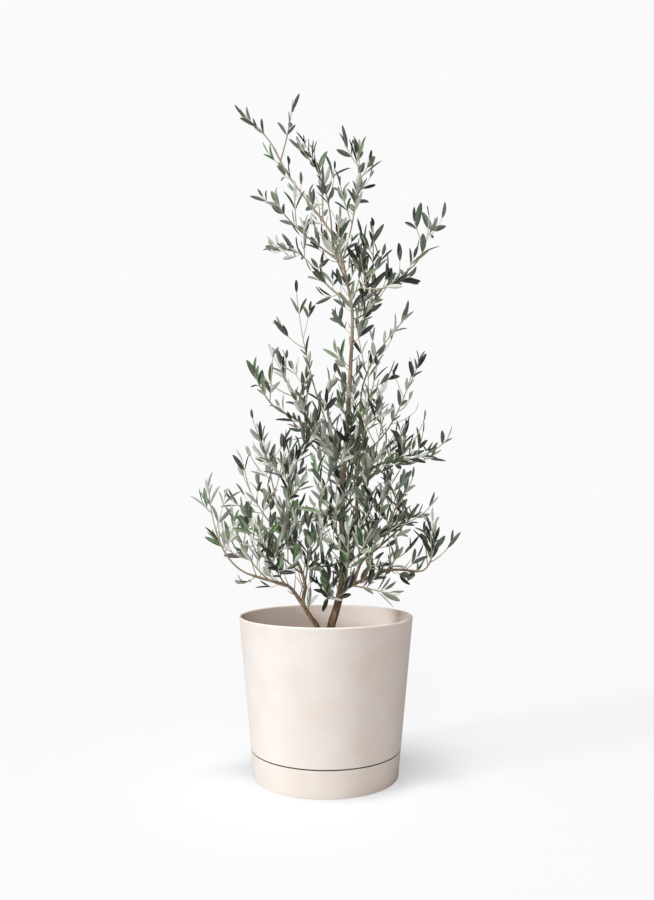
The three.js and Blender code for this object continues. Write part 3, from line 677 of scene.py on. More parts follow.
# the bark's ridges run along the limb, so their pattern is drawn out upwards
bpy.ops.object.select_all(action="DESELECT")
bpy.ops.object.empty_add(location=(0, 0, 0))
grain_frame = bpy.context.object
grain_frame.scale = (1, 1, RIDGE_STRETCH)
bpy.context.view_layer.update()
ridge_texture = bpy.data.textures.new("Bark_ridges", "CLOUDS")
ridge_texture.noise_scale = RIDGE_WIDTH
swell_texture = bpy.data.textures.new("Bark_swellings", "CLOUDS")
swell_texture.noise_scale = SWELLING_WIDTH

limbs = {}


def grow_limb(row, parent, material):
    """One limb: a round bar drawn along its route with its own radius at every point, then ridged."""
    points = list(row["path"])
    if parent:
        points.insert(0, place_on(parent["curve"], share_on(parent, row)))
    curve = smooth_route(points)
    radius_at = taper(curve, row["foot"], row["end"], parent is None)
    limbs[row["name"]] = {"curve": curve, "radius_at": radius_at}
    steps = max(12, round(curve["length"] / LIMB_STEP))
    bpy.ops.object.select_all(action="DESELECT")
    bpy.ops.curve.primitive_nurbs_path_add(location=(0, 0, 0))
    limb = bpy.context.object
    limb.name = row["name"].capitalize() + "_wood"
    limb.data.splines.clear()
    limb.data.dimensions = "3D"
    # the bar is a millimetre in radius where a point's own radius is 1
    limb.data.bevel_depth = 0.001
    limb.data.bevel_resolution = 8 if parent is None else 5
    limb.data.use_fill_caps = True
    line = limb.data.splines.new("POLY")
    line.points.add(steps)
    for i in range(steps + 1):
        share = i / steps
        point = place_on(curve, share)
        if parent is None:
            point.z = max(point.z, SOIL_TOP - LIMB_SUNK)
        collar = COLLAR_GIRTH * math.exp(-share * curve["length"] / COLLAR_LENGTH) if parent else 0
        line.points[i].co = (*(point * 0.001), 1)
        line.points[i].radius = radius_at(share) * (1 + collar)
    bpy.ops.object.convert(target="MESH")
    for texture, strength in ((swell_texture, SWELLING_HEIGHT), (ridge_texture, RIDGE_HEIGHT)):
        relief = limb.modifiers.new(texture.name, "DISPLACE")
        relief.texture = texture
        relief.texture_coords = "OBJECT"
        relief.texture_coords_object = grain_frame
        relief.strength = strength * radius_at(0.3) * 0.001
        bpy.ops.object.modifier_apply(modifier=relief.name)
    bpy.ops.object.mode_set(mode="EDIT")
    face_outwards()
    bpy.ops.object.shade_smooth_by_angle(angle=math.radians(60))
    limb.data.materials.append(material)
    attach(limb, "root")
    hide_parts(row["name"])


for row in STEMS:
    grow_limb(row, None, stem_bark)
for row in BOUGHS:
    grow_limb(row, limbs[row["on"]], bough_bark)
bpy.data.objects.remove(grain_frame)

# Twigs
# The youngest wood, as thin as a straw and bending upwards. Each mass of foliage is one stem that
# branches by a seeded rule, with turns of the golden angle between its side shoots, and here each
# stem and shoot also carries finer twigs. Sizes are in millimetres and leans in degrees.
TWIG_STEP = 80
LIMB_PIECE_STEP = 42
MASS_FOOT_RADIUS = 2.2
SHOOT_RADIUS = 1.5
SHOOT_TIP_RADIUS = 1.1
SHOOTS_ALONG = (0.21, 0.9)
SHOOT_LENGTHS = (1.2, 0.75)
LENGTH_DRAW = (0.8, 1.2)
SHOOT_LEAN = (38, 56)
SHOOT_REACH = 0.85
SHOOT_RISE = 0.26
RIM_CLEARANCE = 14
ONWARD_SHARE = 0.4
GOLDEN_TURN = math.radians(137.5)
FINE_TWIG_EVERY = 52
FINE_TWIG_LENGTHS = (38, 76)
FINE_TWIG_RADIUS = 1.05
FINE_TIP_RADIUS = 0.7
FINE_ALONG_STEM = (0.3, 0.86)
FINE_ALONG_SHOOT = (0.22, 0.86)
SPUR_LEAN = (40, 66)
SPUR_LEAFY = 0.9
FRONT_TURNS = 12
FRONT_TURN_DRAW = 1.6
BARE_GIRTH = 1.45
LEAF_REACH = 34
# share of a twig, from its foot, that carries no leaves: more than all of it on a bare one
LEAFLESS_STEM = 0.3
LEAFLESS_SHOOT = 0.15
LEAFLESS_FINE_TWIG = 0.2
LEAFLESS_SPUR = 0.25
LEAFLESS_BARE_SPUR = 1.1
UP = Vector((0, 0, 1))

MASSES = [
    {"name": "top_left_foliage", "on": "trunk", "along": 1, "tip": (-180, 6, 1408), "shoots": 0,
     "spread": 26, "seed": 11, "leafy": 0.9},
    {"name": "top_right_foliage", "on": "trunk", "height": 1312, "tip": (-76, 44, 1470),
     "bend": (4, 0, 0), "shoots": 0, "spread": 30, "seed": 12, "leafy": 0.9},
    {"name": "high_middle_foliage", "on": "trunk", "height": 1142, "tip": (-46, -40, 1322),
     "bend": (14, 0, 0), "shoots": 3, "spread": 66, "seed": 14, "leafy": 0.55},
    {"name": "high_upright_foliage", "on": "trunk", "height": 1080, "tip": (77, 62, 1370),
     "bend": (8, 0, -14), "shoots": 4, "spread": 62, "seed": 116, "leafy": 0.62},
    {"name": "high_small_foliage", "on": "high_right_bough", "along": 0.32, "tip": (101, -26, 1144),
     "bend": (2, 0, 0), "shoots": 1, "spread": 56, "seed": 17, "leafy": 0.42},
    {"name": "high_right_foliage", "on": "high_right_bough", "along": 1, "tip": (234, 62, 1204),
     "shoots": 2, "spread": 66, "seed": 118, "leafy": 0.45},
    {"name": "right_of_trunk_foliage", "on": "trunk", "height": 1000, "tip": (102, -70, 1032),
     "bend": (0, -10, -8), "shoots": 4, "spread": 74, "seed": 20, "leafy": 0.62},
    {"name": "waist_right_foliage", "on": "trunk", "height": 950, "tip": (108, 40, 1004),
     "bend": (0, 4, -12), "shoots": 4, "spread": 70, "seed": 21, "leafy": 0.95},
    {"name": "high_left_foliage", "on": "high_left_bough", "along": 1, "tip": (-102, -80, 1170),
     "shoots": 3, "spread": 62, "seed": 22, "leafy": 0.45},
    {"name": "waist_left_foliage", "on": "waist_left_bough", "along": 1, "tip": (-84, 70, 1136),
     "shoots": 2, "spread": 62, "seed": 24, "leafy": 1},
    {"name": "high_front_foliage", "on": "trunk", "height": 1030, "tip": (0, -112, 1104),
     "bend": (0, -10, -10), "shoots": 3, "spread": 74, "seed": 25, "leafy": 0.42},
    {"name": "high_back_foliage", "on": "trunk", "height": 1056, "tip": (24, 118, 1155),
     "bend": (0, 10, -10), "shoots": 3, "spread": 74, "seed": 26, "leafy": 0.5},
    {"name": "upper_back_foliage", "on": "trunk", "height": 1172, "tip": (-10, 96, 1277),
     "bend": (0, 14, -6), "shoots": 2, "spread": 66, "seed": 27, "leafy": 0.42},
    {"name": "left_tall_foliage", "on": "trunk", "height": 640, "tip": (-66, 40, 1021),
     "bend": (-14, -10, -20), "shoots": 2, "spread": 70, "seed": 130, "leafy": 0.3},
    {"name": "left_upper_foliage", "on": "left_middle_bough", "along": 0.5, "tip": (-113, 30, 870),
     "bend": (0, 0, 0), "shoots": 3, "spread": 74, "seed": 31, "leafy": 0.55},
    {"name": "left_outer_foliage", "on": "left_middle_bough", "along": 1, "tip": (-138, -84, 799),
     "shoots": 2, "spread": 70, "seed": 32, "leafy": 0.4},
    {"name": "trunk_shoot_foliage", "on": "trunk", "height": 640, "tip": (-44, -66, 740),
     "bend": (-4, -14, -8), "shoots": 3, "spread": 72, "seed": 33, "leafy": 0.85},
    {"name": "right_tall_foliage", "on": "right_stem", "along": 1, "tip": (161, 56, 944), "shoots": 3,
     "spread": 72, "seed": 34, "leafy": 0.5},
    {"name": "far_right_foliage", "on": "right_stem", "height": 650, "tip": (196, 74, 855),
     "bend": (10, 6, -26), "shoots": 3, "spread": 70, "seed": 35, "leafy": 0.52},
    {"name": "right_arm_foliage", "on": "right_arm_bough", "along": 1, "tip": (229, 44, 666),
     "shoots": 3, "spread": 62, "seed": 36, "leafy": 0.62},
    {"name": "right_cluster_foliage", "on": "right_arm_bough", "along": 0.7, "tip": (174, -20, 668),
     "bend": (4, 0, -4), "shoots": 4, "spread": 70, "seed": 37, "leafy": 0.72},
    {"name": "right_edge_foliage", "on": "right_diagonal_bough", "along": 1, "tip": (184, 44, 520),
     "shoots": 4, "spread": 60, "seed": 38, "leafy": 0.68},
    {"name": "right_mid_foliage", "on": "right_diagonal_bough", "along": 0.7, "tip": (158, 10, 588),
     "bend": (4, 0, -6), "shoots": 4, "spread": 70, "seed": 39, "leafy": 0.68},
    {"name": "low_right_foliage", "on": "low_right_bough", "along": 1, "tip": (222, -46, 470),
     "shoots": 4, "spread": 62, "seed": 40, "leafy": 0.75},
    {"name": "low_right_inner_foliage", "on": "low_right_bough", "along": 0.68,
     "tip": (140, -76, 450), "bend": (4, 0, -4), "shoots": 2, "spread": 60, "seed": 41, "leafy": 0.65},
    {"name": "low_right_drooping_foliage", "on": "low_right_bough", "along": 0.36,
     "tip": (122, -84, 372), "bend": (0, -6, 2), "shoots": 1, "spread": 46, "seed": 42, "leafy": 0.8},
    {"name": "low_middle_foliage", "on": "trunk", "height": 352, "tip": (-16, -62, 388),
     "bend": (0, -4, -6), "shoots": 3, "spread": 68, "seed": 43, "leafy": 1},
    {"name": "low_left_foliage", "on": "low_left_bough", "along": 0.45, "tip": (-114, -112, 456),
     "bend": (0, -8, -4), "shoots": 4, "spread": 76, "seed": 60, "leafy": 1},
    {"name": "low_centre_foliage", "on": "left_stem", "height": 385, "tip": (-30, -108, 478),
     "bend": (0, -10, -6), "shoots": 4, "spread": 76, "seed": 61, "leafy": 1},
    {"name": "low_right_centre_foliage", "on": "low_right_bough", "along": 0.5,
     "tip": (92, -118, 462), "bend": (0, -10, -4), "shoots": 3, "spread": 76, "seed": 62, "leafy": 0.85},
    {"name": "far_left_foliage", "on": "low_left_bough", "along": 1, "tip": (-241, -50, 582),
     "shoots": 2, "spread": 36, "seed": 44, "leafy": 0.4},
    {"name": "left_spray_foliage", "on": "low_left_bough", "along": 0.72, "tip": (-190, -14, 492),
     "bend": (-4, 0, -8), "shoots": 4, "spread": 70, "seed": 45, "leafy": 0.9},
    {"name": "left_crown_foliage", "on": "left_stem", "along": 1, "tip": (-139, 52, 698), "shoots": 4,
     "spread": 80, "seed": 46, "leafy": 0.42},
    {"name": "left_side_foliage", "on": "left_stem", "height": 470, "tip": (-182, 60, 612),
     "bend": (-6, 6, -10), "shoots": 4, "spread": 76, "seed": 47, "leafy": 0.5},
    {"name": "left_middle_foliage", "on": "left_stem", "height": 490, "tip": (-74, -84, 660),
     "bend": (4, -10, -6), "shoots": 4, "spread": 80, "seed": 48, "leafy": 1},
    {"name": "front_foliage", "on": "trunk", "height": 450, "tip": (-20, -122, 622),
     "bend": (4, -20, -20), "shoots": 4, "spread": 84, "seed": 49, "leafy": 0.85},
    {"name": "right_front_foliage", "on": "low_right_bough", "along": 0.3, "tip": (44, -128, 500),
     "bend": (0, -14, -4), "shoots": 4, "spread": 80, "seed": 50, "leafy": 0.75},
    {"name": "right_centre_foliage", "on": "right_diagonal_bough", "along": 0.3,
     "tip": (112, -96, 560), "bend": (6, -12, -6), "shoots": 4, "spread": 76, "seed": 51, "leafy": 0.85},
    {"name": "right_back_foliage", "on": "right_stem", "height": 560, "tip": (122, 90, 712),
     "bend": (4, 10, -8), "shoots": 4, "spread": 80, "seed": 52, "leafy": 0.5},
    {"name": "upper_front_foliage", "on": "right_stem", "height": 660, "tip": (82, -60, 764),
     "bend": (6, -12, -4), "shoots": 4, "spread": 78, "seed": 153, "leafy": 0.53},
    {"name": "back_left_foliage", "on": "left_stem", "height": 430, "tip": (-96, 130, 540),
     "bend": (0, 20, -10), "shoots": 4, "spread": 88, "seed": 54, "leafy": 0.66},
    {"name": "back_right_foliage", "on": "back_right_bough", "along": 1, "tip": (98, 150, 620),
     "shoots": 4, "spread": 88, "seed": 55, "leafy": 0.85},
    {"name": "back_middle_foliage", "on": "trunk", "height": 560, "tip": (4, 100, 690),
     "bend": (0, 14, -10), "shoots": 4, "spread": 84, "seed": 56, "leafy": 0.85},
    {"name": "left_front_foliage", "on": "left_stem", "height": 405, "tip": (-150, -100, 520),
     "bend": (0, -14, -8), "shoots": 4, "spread": 78, "seed": 57, "leafy": 0.7},
    {"name": "right_inner_foliage", "on": "right_stem", "height": 730, "tip": (105, -66, 834),
     "bend": (4, -6, -4), "shoots": 2, "spread": 68, "seed": 58, "leafy": 0.5},
]


def between(span, share):
    """The value at a share of the way through a span."""
    return span[0] + (span[1] - span[0]) * share


# everything that has grown so far, as straight pieces: ends, radius, owner and whether it is a leaf
MOST_PIECES = 20000
grown_start = np.zeros((MOST_PIECES, 3))
grown_end = np.zeros((MOST_PIECES, 3))
grown_radius = np.zeros(MOST_PIECES)
grown_owner = np.zeros(MOST_PIECES, int)
grown_leaf = np.zeros(MOST_PIECES, bool)
grown_count = 0


def note_piece(start, end, radius, owner, leaf=False):
    """Notes one straight piece among all that has grown."""
    global grown_count
    grown_start[grown_count] = start
    grown_end[grown_count] = end
    grown_radius[grown_count] = radius
    grown_owner[grown_count] = owner
    grown_leaf[grown_count] = leaf
    grown_count += 1


def distances(start, end, starts, ends):
    """The shortest distance from one straight piece to each of many."""
    u = end - start
    v = ends - starts
    w = start - starts
    uu = u @ u
    uv = v @ u
    vv = (v * v).sum(1)
    uw = w @ u
    vw = (w * v).sum(1)
    spread = uu * vv - uv * uv
    s = np.where(spread > 1e-6, np.clip((uv * vw - vv * uw) / np.maximum(spread, 1e-9), 0, 1), 0)
    t = np.clip((uv * s + vw) / vv, 0, 1)
    s = np.clip((uv * t - uw) / uu, 0, 1)
    return np.linalg.norm(w + s[:, None] * u - t[:, None] * v, axis=1)


def clear_of_others(start, end, radius, owner):
    """Whether a piece keeps its gap to everything that another owner has grown."""
    others = np.nonzero(grown_owner[:grown_count] != owner)[0]
    near = distances(np.array(start), np.array(end), grown_start[others], grown_end[others])
    return bool((near > radius + grown_radius[others] + GAP).all())


def clear_of_rim(start, end):
    """Whether a piece stays above the pot's rim or well inside it."""
    return all(point.z > POT_HEIGHT * 1000 + RIM_CLEARANCE
               or math.hypot(point.x, point.y) < (POT_RIM_RADIUS - POT_WALL) * 1000 - RIM_CLEARANCE
               for point in (start, end))


def leaning(direction, turn, lean):
    """A direction that leans away from another one, towards a turn about it."""
    level = direction.cross(UP)
    if level.length_squared < 1e-4:
        level = Vector((1, 0, 0))
    level.normalize()
    steep = level.cross(direction).normalized()
    angle = math.radians(lean)
    return (direction * math.cos(angle) + level * (math.cos(turn) * math.sin(angle))
            + steep * (math.sin(turn) * math.sin(angle)))


def steps_for(curve, step):
    """The number of straight pieces that stand for a curve."""
    return max(2, math.floor(curve["length"] / step + 0.5))


def straight_pieces(curve, radius_at, steps):
    """A curve as straight pieces, each with its two ends and its larger radius."""
    points = [place_on(curve, i / steps) for i in range(steps + 1)]
    return [(points[i], points[i + 1], max(radius_at(i / steps), radius_at((i + 1) / steps)))
            for i in range(steps)]


def straight_taper(foot, end):
    """A twig's radius at any share of its length."""
    return lambda share: foot + (end - foot) * share


def mass_curve(row, limb):
    """A mass's stem: straight on from the tip of a limb, or bowed out from its side."""
    share = share_on(limb, row)
    start = place_on(limb["curve"], share)
    tip = Vector(row["tip"])
    if share == 1:
        onward = way_on(limb["curve"], 1)
        start = start + onward * GAP
        return bowed_route(start, start + onward * ((tip - start).length * ONWARD_SHARE), tip)
    return bowed_route(start, (start + tip) / 2 + Vector(row["bend"]) * 2, tip)


def side_twig(parent, share, turn, lean, length):
    """The curve of a twig that leaves its parent sideways and bends upwards."""
    start = place_on(parent["curve"], share)
    away = leaning(way_on(parent["curve"], share), turn, lean)
    end = start + away * (length * SHOOT_REACH) + UP * (length * SHOOT_RISE)
    return bowed_route(start, start + away * (length / 2), end)


def grows_clear(mass, curve, radius_at, steps):
    """Notes a twig if it stays clear of everything outside its mass and of the pot's rim."""
    parts = straight_pieces(curve, radius_at, steps)
    if not all(clear_of_others(a, b, r, mass["owner"]) and clear_of_rim(a, b) for a, b, r in parts):
        return False
    for a, b, r in parts:
        note_piece(a, b, r, mass["owner"])
    return True


for number, row in enumerate(STEMS + BOUGHS):
    limb = limbs[row["name"]]
    steps = steps_for(limb["curve"], LIMB_PIECE_STEP)
    for a, b, r in straight_pieces(limb["curve"], limb["radius_at"], steps):
        note_piece(a, b, r, -1 - number)

masses = []
for number, row in enumerate(MASSES):
    limb = limbs[row["on"]]
    curve = mass_curve(row, limb)
    foot = limb["radius_at"](1) if row.get("along") == 1 else MASS_FOOT_RADIUS
    stem = {"curve": curve, "radius_at": straight_taper(foot, SHOOT_TIP_RADIUS),
            "leafless": LEAFLESS_STEM, "order": 0}
    for a, b, r in straight_pieces(curve, stem["radius_at"], steps_for(curve, TWIG_STEP)):
        note_piece(a, b, r, number)
    masses.append({"row": row, "owner": number, "stem": stem, "twigs": [stem],
                   "draw": seeded_draws(row["seed"])})

for mass in masses:
    draw = mass["draw"]
    stem = mass["stem"]
    first_turn = draw() * math.tau
    for i in range(mass["row"]["shoots"]):
        # each shoot leaves the stem somewhere in the middle part of its own stretch
        share = between(SHOOTS_ALONG, (i + 0.3 + 0.4 * draw()) / mass["row"]["shoots"])
        lean = between(SHOOT_LEAN, draw())
        length = mass["row"]["spread"] * between(SHOOT_LENGTHS, share) * between(LENGTH_DRAW, draw())
        curve = side_twig(stem, share, first_turn + i * GOLDEN_TURN, lean, length)
        radius_at = straight_taper(SHOOT_RADIUS, SHOOT_TIP_RADIUS)
        if grows_clear(mass, curve, radius_at, steps_for(curve, TWIG_STEP)):
            mass["twigs"].append({"curve": curve, "radius_at": radius_at,
                                  "leafless": LEAFLESS_SHOOT, "order": 1})


def reach_of(twigs, leaf_reach):
    """The box that some twigs and their leaves may fill, in no place outside the whole plant's."""
    points = np.array([place_on(twig["curve"], i / 6) for twig in twigs for i in range(7)])
    return (np.maximum(points.min(0) - leaf_reach, np.array(cad_low) * 1000 + 1),
            np.minimum(points.max(0) + leaf_reach, np.array(cad_high) * 1000 - 1))


def in_reach(mass, point):
    """Whether a point lies in the box that its mass may fill."""
    low, high = mass["reach"]
    return bool((low <= np.array(point)).all() and (np.array(point) <= high).all())


def grow_fine_twig(mass, parent, share, turn, lean, length, leafless):
    """One more fine twig on a stem, a shoot or a limb, if it has room there."""
    curve = side_twig(parent, share, turn, lean, length)
    girth = BARE_GIRTH if leafless > 1 else 1
    radius_at = straight_taper(FINE_TWIG_RADIUS * girth, FINE_TIP_RADIUS)
    if in_reach(mass, place_on(curve, 1)) and grows_clear(mass, curve, radius_at, 2):
        mass["twigs"].append({"curve": curve, "radius_at": radius_at, "leafless": leafless, "order": 2})


# finer twigs, on the stems and shoots of all but the slightest masses
for mass in masses:
    draw = mass["draw"]
    mass["reach"] = reach_of(mass["twigs"], LEAF_REACH)
    if mass["row"]["shoots"] == 0:
        continue
    every = FINE_TWIG_EVERY / mass["row"]["leafy"]
    for parent in list(mass["twigs"]):
        span = FINE_ALONG_STEM if parent["order"] == 0 else FINE_ALONG_SHOOT
        count = int(parent["curve"]["length"] / every)
        first_turn = draw() * math.tau
        for i in range(count):
            share = between(span, (i + 0.5) / count)
            # the nearer to its parent's tip, the shorter
            length = between(FINE_TWIG_LENGTHS, draw()) * (1.15 - 0.4 * share)
            grow_fine_twig(mass, parent, share, first_turn + (i + 0.5) * GOLDEN_TURN,
                           between(SHOOT_LEAN, draw()), length, LEAFLESS_FINE_TWIG)

# short spurs straight on the limbs between two shares of the limb's length: most are leafy, the bare
# ones have lost their leaves, and those marked front all grow towards the plant's front
SPURS = [
    {"on": "trunk", "from": 0.08, "to": 0.28, "count": 8, "lengths": (22, 60), "seed": 318},
    {"on": "trunk", "from": 0.27, "to": 0.47, "count": 9, "lengths": (32, 84), "seed": 301},
    {"on": "trunk", "from": 0.47, "to": 0.58, "count": 5, "lengths": (30, 60), "seed": 315},
    {"on": "trunk", "from": 0.585, "to": 0.75, "count": 14, "lengths": (30, 62), "seed": 302},
    {"on": "trunk", "from": 0.75, "to": 0.985, "count": 16, "lengths": (12, 40), "seed": 303},
    {"on": "left_stem", "from": 0.3, "to": 0.55, "count": 6, "lengths": (14, 34), "seed": 316},
    {"on": "left_stem", "from": 0.55, "to": 0.97, "count": 6, "lengths": (45, 85), "seed": 304},
    {"on": "right_stem", "from": 0.25, "to": 0.72, "count": 7, "lengths": (30, 80), "seed": 305},
    {"on": "right_stem", "from": 0.7, "to": 0.95, "count": 3, "lengths": (35, 60), "seed": 317},
    {"on": "low_left_bough", "from": 0.45, "to": 0.97, "count": 7, "lengths": (20, 52), "seed": 306},
    {"on": "low_right_bough", "from": 0.2, "to": 0.97, "count": 12, "lengths": (16, 48), "seed": 307},
    {"on": "right_diagonal_bough", "from": 0.2, "to": 0.95, "count": 7, "lengths": (30, 60), "seed": 308},
    {"on": "right_arm_bough", "from": 0.15, "to": 0.97, "count": 9, "lengths": (20, 50), "seed": 309},
    {"on": "left_middle_bough", "from": 0.2, "to": 0.9, "count": 8, "lengths": (30, 60), "seed": 310},
    {"on": "high_left_bough", "from": 0.2, "to": 0.95, "count": 5, "lengths": (12, 32), "seed": 311},
    {"on": "waist_left_bough", "from": 0.15, "to": 0.95, "count": 8, "lengths": (16, 40), "seed": 312},
    {"on": "high_right_bough", "from": 0.3, "to": 0.97, "count": 8, "lengths": (14, 40), "seed": 313},
    {"on": "back_right_bough", "from": 0.4, "to": 0.95, "count": 1, "lengths": (30, 60), "seed": 314},
    {"on": "trunk", "from": 0.1, "to": 0.25, "count": 14, "lengths": (24, 58), "seed": 340,
     "front": True},
    {"on": "trunk", "from": 0.24, "to": 0.45, "count": 16, "lengths": (34, 80), "seed": 341,
     "front": True},
    {"on": "right_stem", "from": 0.2, "to": 0.75, "count": 8, "lengths": (30, 70), "seed": 342,
     "front": True},
    {"on": "low_left_bough", "from": 0.1, "to": 0.95, "count": 14, "lengths": (20, 52), "seed": 331,
     "bare": True},
    {"on": "left_stem", "from": 0.3, "to": 0.9, "count": 12, "lengths": (24, 60), "seed": 332,
     "bare": True},
    {"on": "low_right_bough", "from": 0.08, "to": 0.95, "count": 12, "lengths": (18, 50), "seed": 333,
     "bare": True},
    {"on": "trunk", "from": 0.09, "to": 0.7, "count": 26, "lengths": (20, 60), "seed": 334,
     "bare": True},
    {"on": "right_stem", "from": 0.1, "to": 0.95, "count": 12, "lengths": (20, 60), "seed": 335,
     "bare": True},
    {"on": "right_arm_bough", "from": 0.2, "to": 0.9, "count": 6, "lengths": (16, 40), "seed": 336,
     "bare": True},
]

for spurs in SPURS:
    limb = limbs[spurs["on"]]
    draw = seeded_draws(spurs["seed"])
    number = [row["name"] for row in STEMS + BOUGHS].index(spurs["on"])
    middle = place_on(limb["curve"], (spurs["from"] + spurs["to"]) / 2)
    cluster = {"row": {"name": spurs["on"], "tip": middle, "leafy": SPUR_LEAFY}, "owner": -1 - number,
               "twigs": [], "draw": draw,
               "reach": reach_of([limb], spurs["lengths"][1] + LEAF_REACH)}
    first_turn = draw() * math.tau
    for i in range(spurs["count"]):
        share = between((spurs["from"], spurs["to"]), (i + 0.2 + 0.6 * draw()) / spurs["count"])
        turn = first_turn + i * GOLDEN_TURN
        lean = between(SPUR_LEAN, draw())
        if spurs.get("front"):
            way = way_on(limb["curve"], share)
            turns = [math.tau * k / FRONT_TURNS for k in range(FRONT_TURNS)]
            turn = min(turns, key=lambda t: leaning(way, t, lean).y) + (draw() - 0.5) * FRONT_TURN_DRAW
        grow_fine_twig(cluster, limb, share, turn, lean, between(spurs["lengths"], draw()),
                       LEAFLESS_BARE_SPUR if spurs.get("bare") else LEAFLESS_SPUR)
    masses.append(cluster)

# Leaves
# Narrow leathery leaves in pairs, each pair a quarter turn from the last: green or grey-green and
# faintly glossy above, silvery with fine scales below. Each has a short stalk, a rib, and a blade
# that is a little folded, bowed and twisted. The youngest, at a twig's tip, are smaller.
LEAF_LENGTH = 42
LEAF_SIZES = (0.62, 1.22)
LEAF_WIDTHS = (6.8, 12)
LEAF_THICKNESS = 0.5
TIP_LEAF_SIZE = 0.74
LEAF_LEAN = (24, 52)
TIP_LEAF_LEAN = (8, 24)
LEAF_RISE = 0.28
LEAF_PAIR_STEP = 20
TIP_PAIR_STEP = 0.8
LAST_PAIR = 0.985
LEAF_FREE_FROM = 0.3
LEAF_CROWDING = 0.52
LEAF_SWINGS = (0, 0.6, -0.6, 1.1, -1.1)
LEAF_TURN_DRAW = 0.6
LEAF_ROLL_DRAW = 1.7
LEAF_BOWS = (-0.1, 0.2)
LEAF_TWIST_DRAW = 1.1
TONE_DRAW = 0.7
PALEST_TONE = 0.9
# the crown's left edge and foot, and how far it runs to the right and upwards from them
CROWN_LEFT = -200
CROWN_WIDTH = 400
CROWN_FOOT = 350
CROWN_HEIGHT = 1000
# power that darkens a tone as painted shade: at the crown's lit left edge, and at its shaded right edge
SHADE_DRAW = (0.95, 1.6)
# the same low and high in the crown, and in the masses and on the boughs that get more painted shade
HEIGHT_SHADE = (1, 1.9)
PAINTED_SHADE_MASSES = {"right_mid_foliage": 3, "right_edge_foliage": 3.2, "right_cluster_foliage": 2.6,
               "right_centre_foliage": 1.8, "low_right_inner_foliage": 1.5,
               "high_right_foliage": 1.3, "right_arm_foliage": 1.3, "low_right_foliage": 1.3,
               "low_right_drooping_foliage": 2.2, "right_diagonal_bough": 2, "right_arm_bough": 1.5,
               "back_middle_foliage": 1.6, "low_middle_foliage": 1.5, "low_centre_foliage": 1.2,
               "trunk_shoot_foliage": 1.3, "trunk": 1.2, "back_right_foliage": 1.4,
               "low_right_bough": 1.4, "high_right_bough": 1.3}
# masses and boughs with larger leaves than the rest
LARGE_LEAVED = {"high_right_foliage": 1.3, "top_left_foliage": 1.1, "high_small_foliage": 1.1,
                "high_upright_foliage": 1.1, "left_tall_foliage": 1.15, "left_outer_foliage": 1.1,
                "right_tall_foliage": 1.1, "high_right_bough": 1.3, "high_left_bough": 1.15}
# spread of the draw for green leaves at the crown's left and right edges: the smaller, the greener
HUE_DRAW = (0.8, 1.6)
# share of the length, and half width as a share of the widest
LEAF_OUTLINE = ((0.0, 0.09), (0.08, 0.11), (0.2, 0.6), (0.38, 0.94), (0.58, 1.0), (0.78, 0.8),
                (0.93, 0.44))
# how far a leaf's edges rise over its rib, as a share of its half width
LEAF_FOLD = 0.5
# share of a leaf's length where its twist is nil
LEAF_TWIST_FROM = 0.2
LEAF_COAT_ROUGHNESS = 0.35
# edges of a leaf that turn by fewer degrees than this are shaded smooth
LEAF_SMOOTH_BELOW = 24

leaves = []


def leaf_fits(mass, start, end, radius):
    """A leaf keeps off all wood and off the other leaves, except close to its own stalk."""
    if not clear_of_rim(start, end) or not in_reach(mass, end):
        return False
    outer = np.array(start.lerp(end, LEAF_FREE_FROM))
    tip = np.array(end)
    near = distances(outer, tip, grown_start[:grown_count], grown_end[:grown_count])
    room = (radius + grown_radius[:grown_count]) * LEAF_CROWDING
    return bool((near > room).all())


for mass in masses:
    draw = mass["draw"]
    for twig in mass["twigs"]:
        length = twig["curve"]["length"]
        first_turn = draw() * math.pi
        tone = draw()
        leafy_length = length * (1 - twig["leafless"])
        back = 0
        pair = 0
        pair_places = []
        while back <= leafy_length:
            share = min(LAST_PAIR, 1 - back / length)
            point = place_on(twig["curve"], share)
            way = way_on(twig["curve"], share)
            pair_places.append(share)
            size = LARGE_LEAVED.get(mass["row"]["name"], 1) * (TIP_LEAF_SIZE if pair == 0 else 1)
            shed = draw() > mass["row"]["leafy"] and pair > 0
            for side in range(0 if shed else 2):
                turn = first_turn + pair * math.pi / 2 + side * math.pi + (draw() - 0.5) * LEAF_TURN_DRAW
                lean = between(TIP_LEAF_LEAN if pair == 0 else LEAF_LEAN, draw())
                leaf_length = LEAF_LENGTH * size * between(LEAF_SIZES, draw())
                width = between(LEAF_WIDTHS, draw()) * size
                roll = (draw() - 0.5) * LEAF_ROLL_DRAW
                bow = between(LEAF_BOWS, draw())
                twist = (draw() - 0.5) * LEAF_TWIST_DRAW
                rightwards = (point.x - CROWN_LEFT) / CROWN_WIDTH
                upwards = (point.z - CROWN_FOOT) / CROWN_HEIGHT
                tone_with_painted_shade = min(PALEST_TONE, max(0, tone + (draw() - 0.5) * TONE_DRAW))
                # the tone is darkened as painted shade: to the right, upwards and in the shaded masses
                tone_with_painted_shade = tone_with_painted_shade ** (between(SHADE_DRAW, rightwards) * between(HEIGHT_SHADE, upwards)
                                        * PAINTED_SHADE_MASSES.get(mass["row"]["name"], 1))
                hue = draw() * between(HUE_DRAW, rightwards)
                for swing in LEAF_SWINGS:
                    direction = (leaning(way, turn + swing, lean) + UP * LEAF_RISE).normalized()
                    end = point + direction * leaf_length
                    if leaf_fits(mass, point, end, width / 2):
                        across = way.cross(direction).normalized()
                        across.rotate(Matrix.Rotation(roll, 3, direction))
                        note_piece(point, end, width / 2, mass["owner"], True)
                        leaves.append({
                            "root": point, "direction": direction, "across": across,
                            "length": leaf_length, "width": width, "bow": bow, "twist": twist,
                            "tone": tone_with_painted_shade, "hue": hue, "height": mass["row"]["tip"][2]})
                        break
            back += LEAF_PAIR_STEP * (TIP_PAIR_STEP if pair == 0 else 1)
            pair += 1
        twig["pair_places"] = pair_places

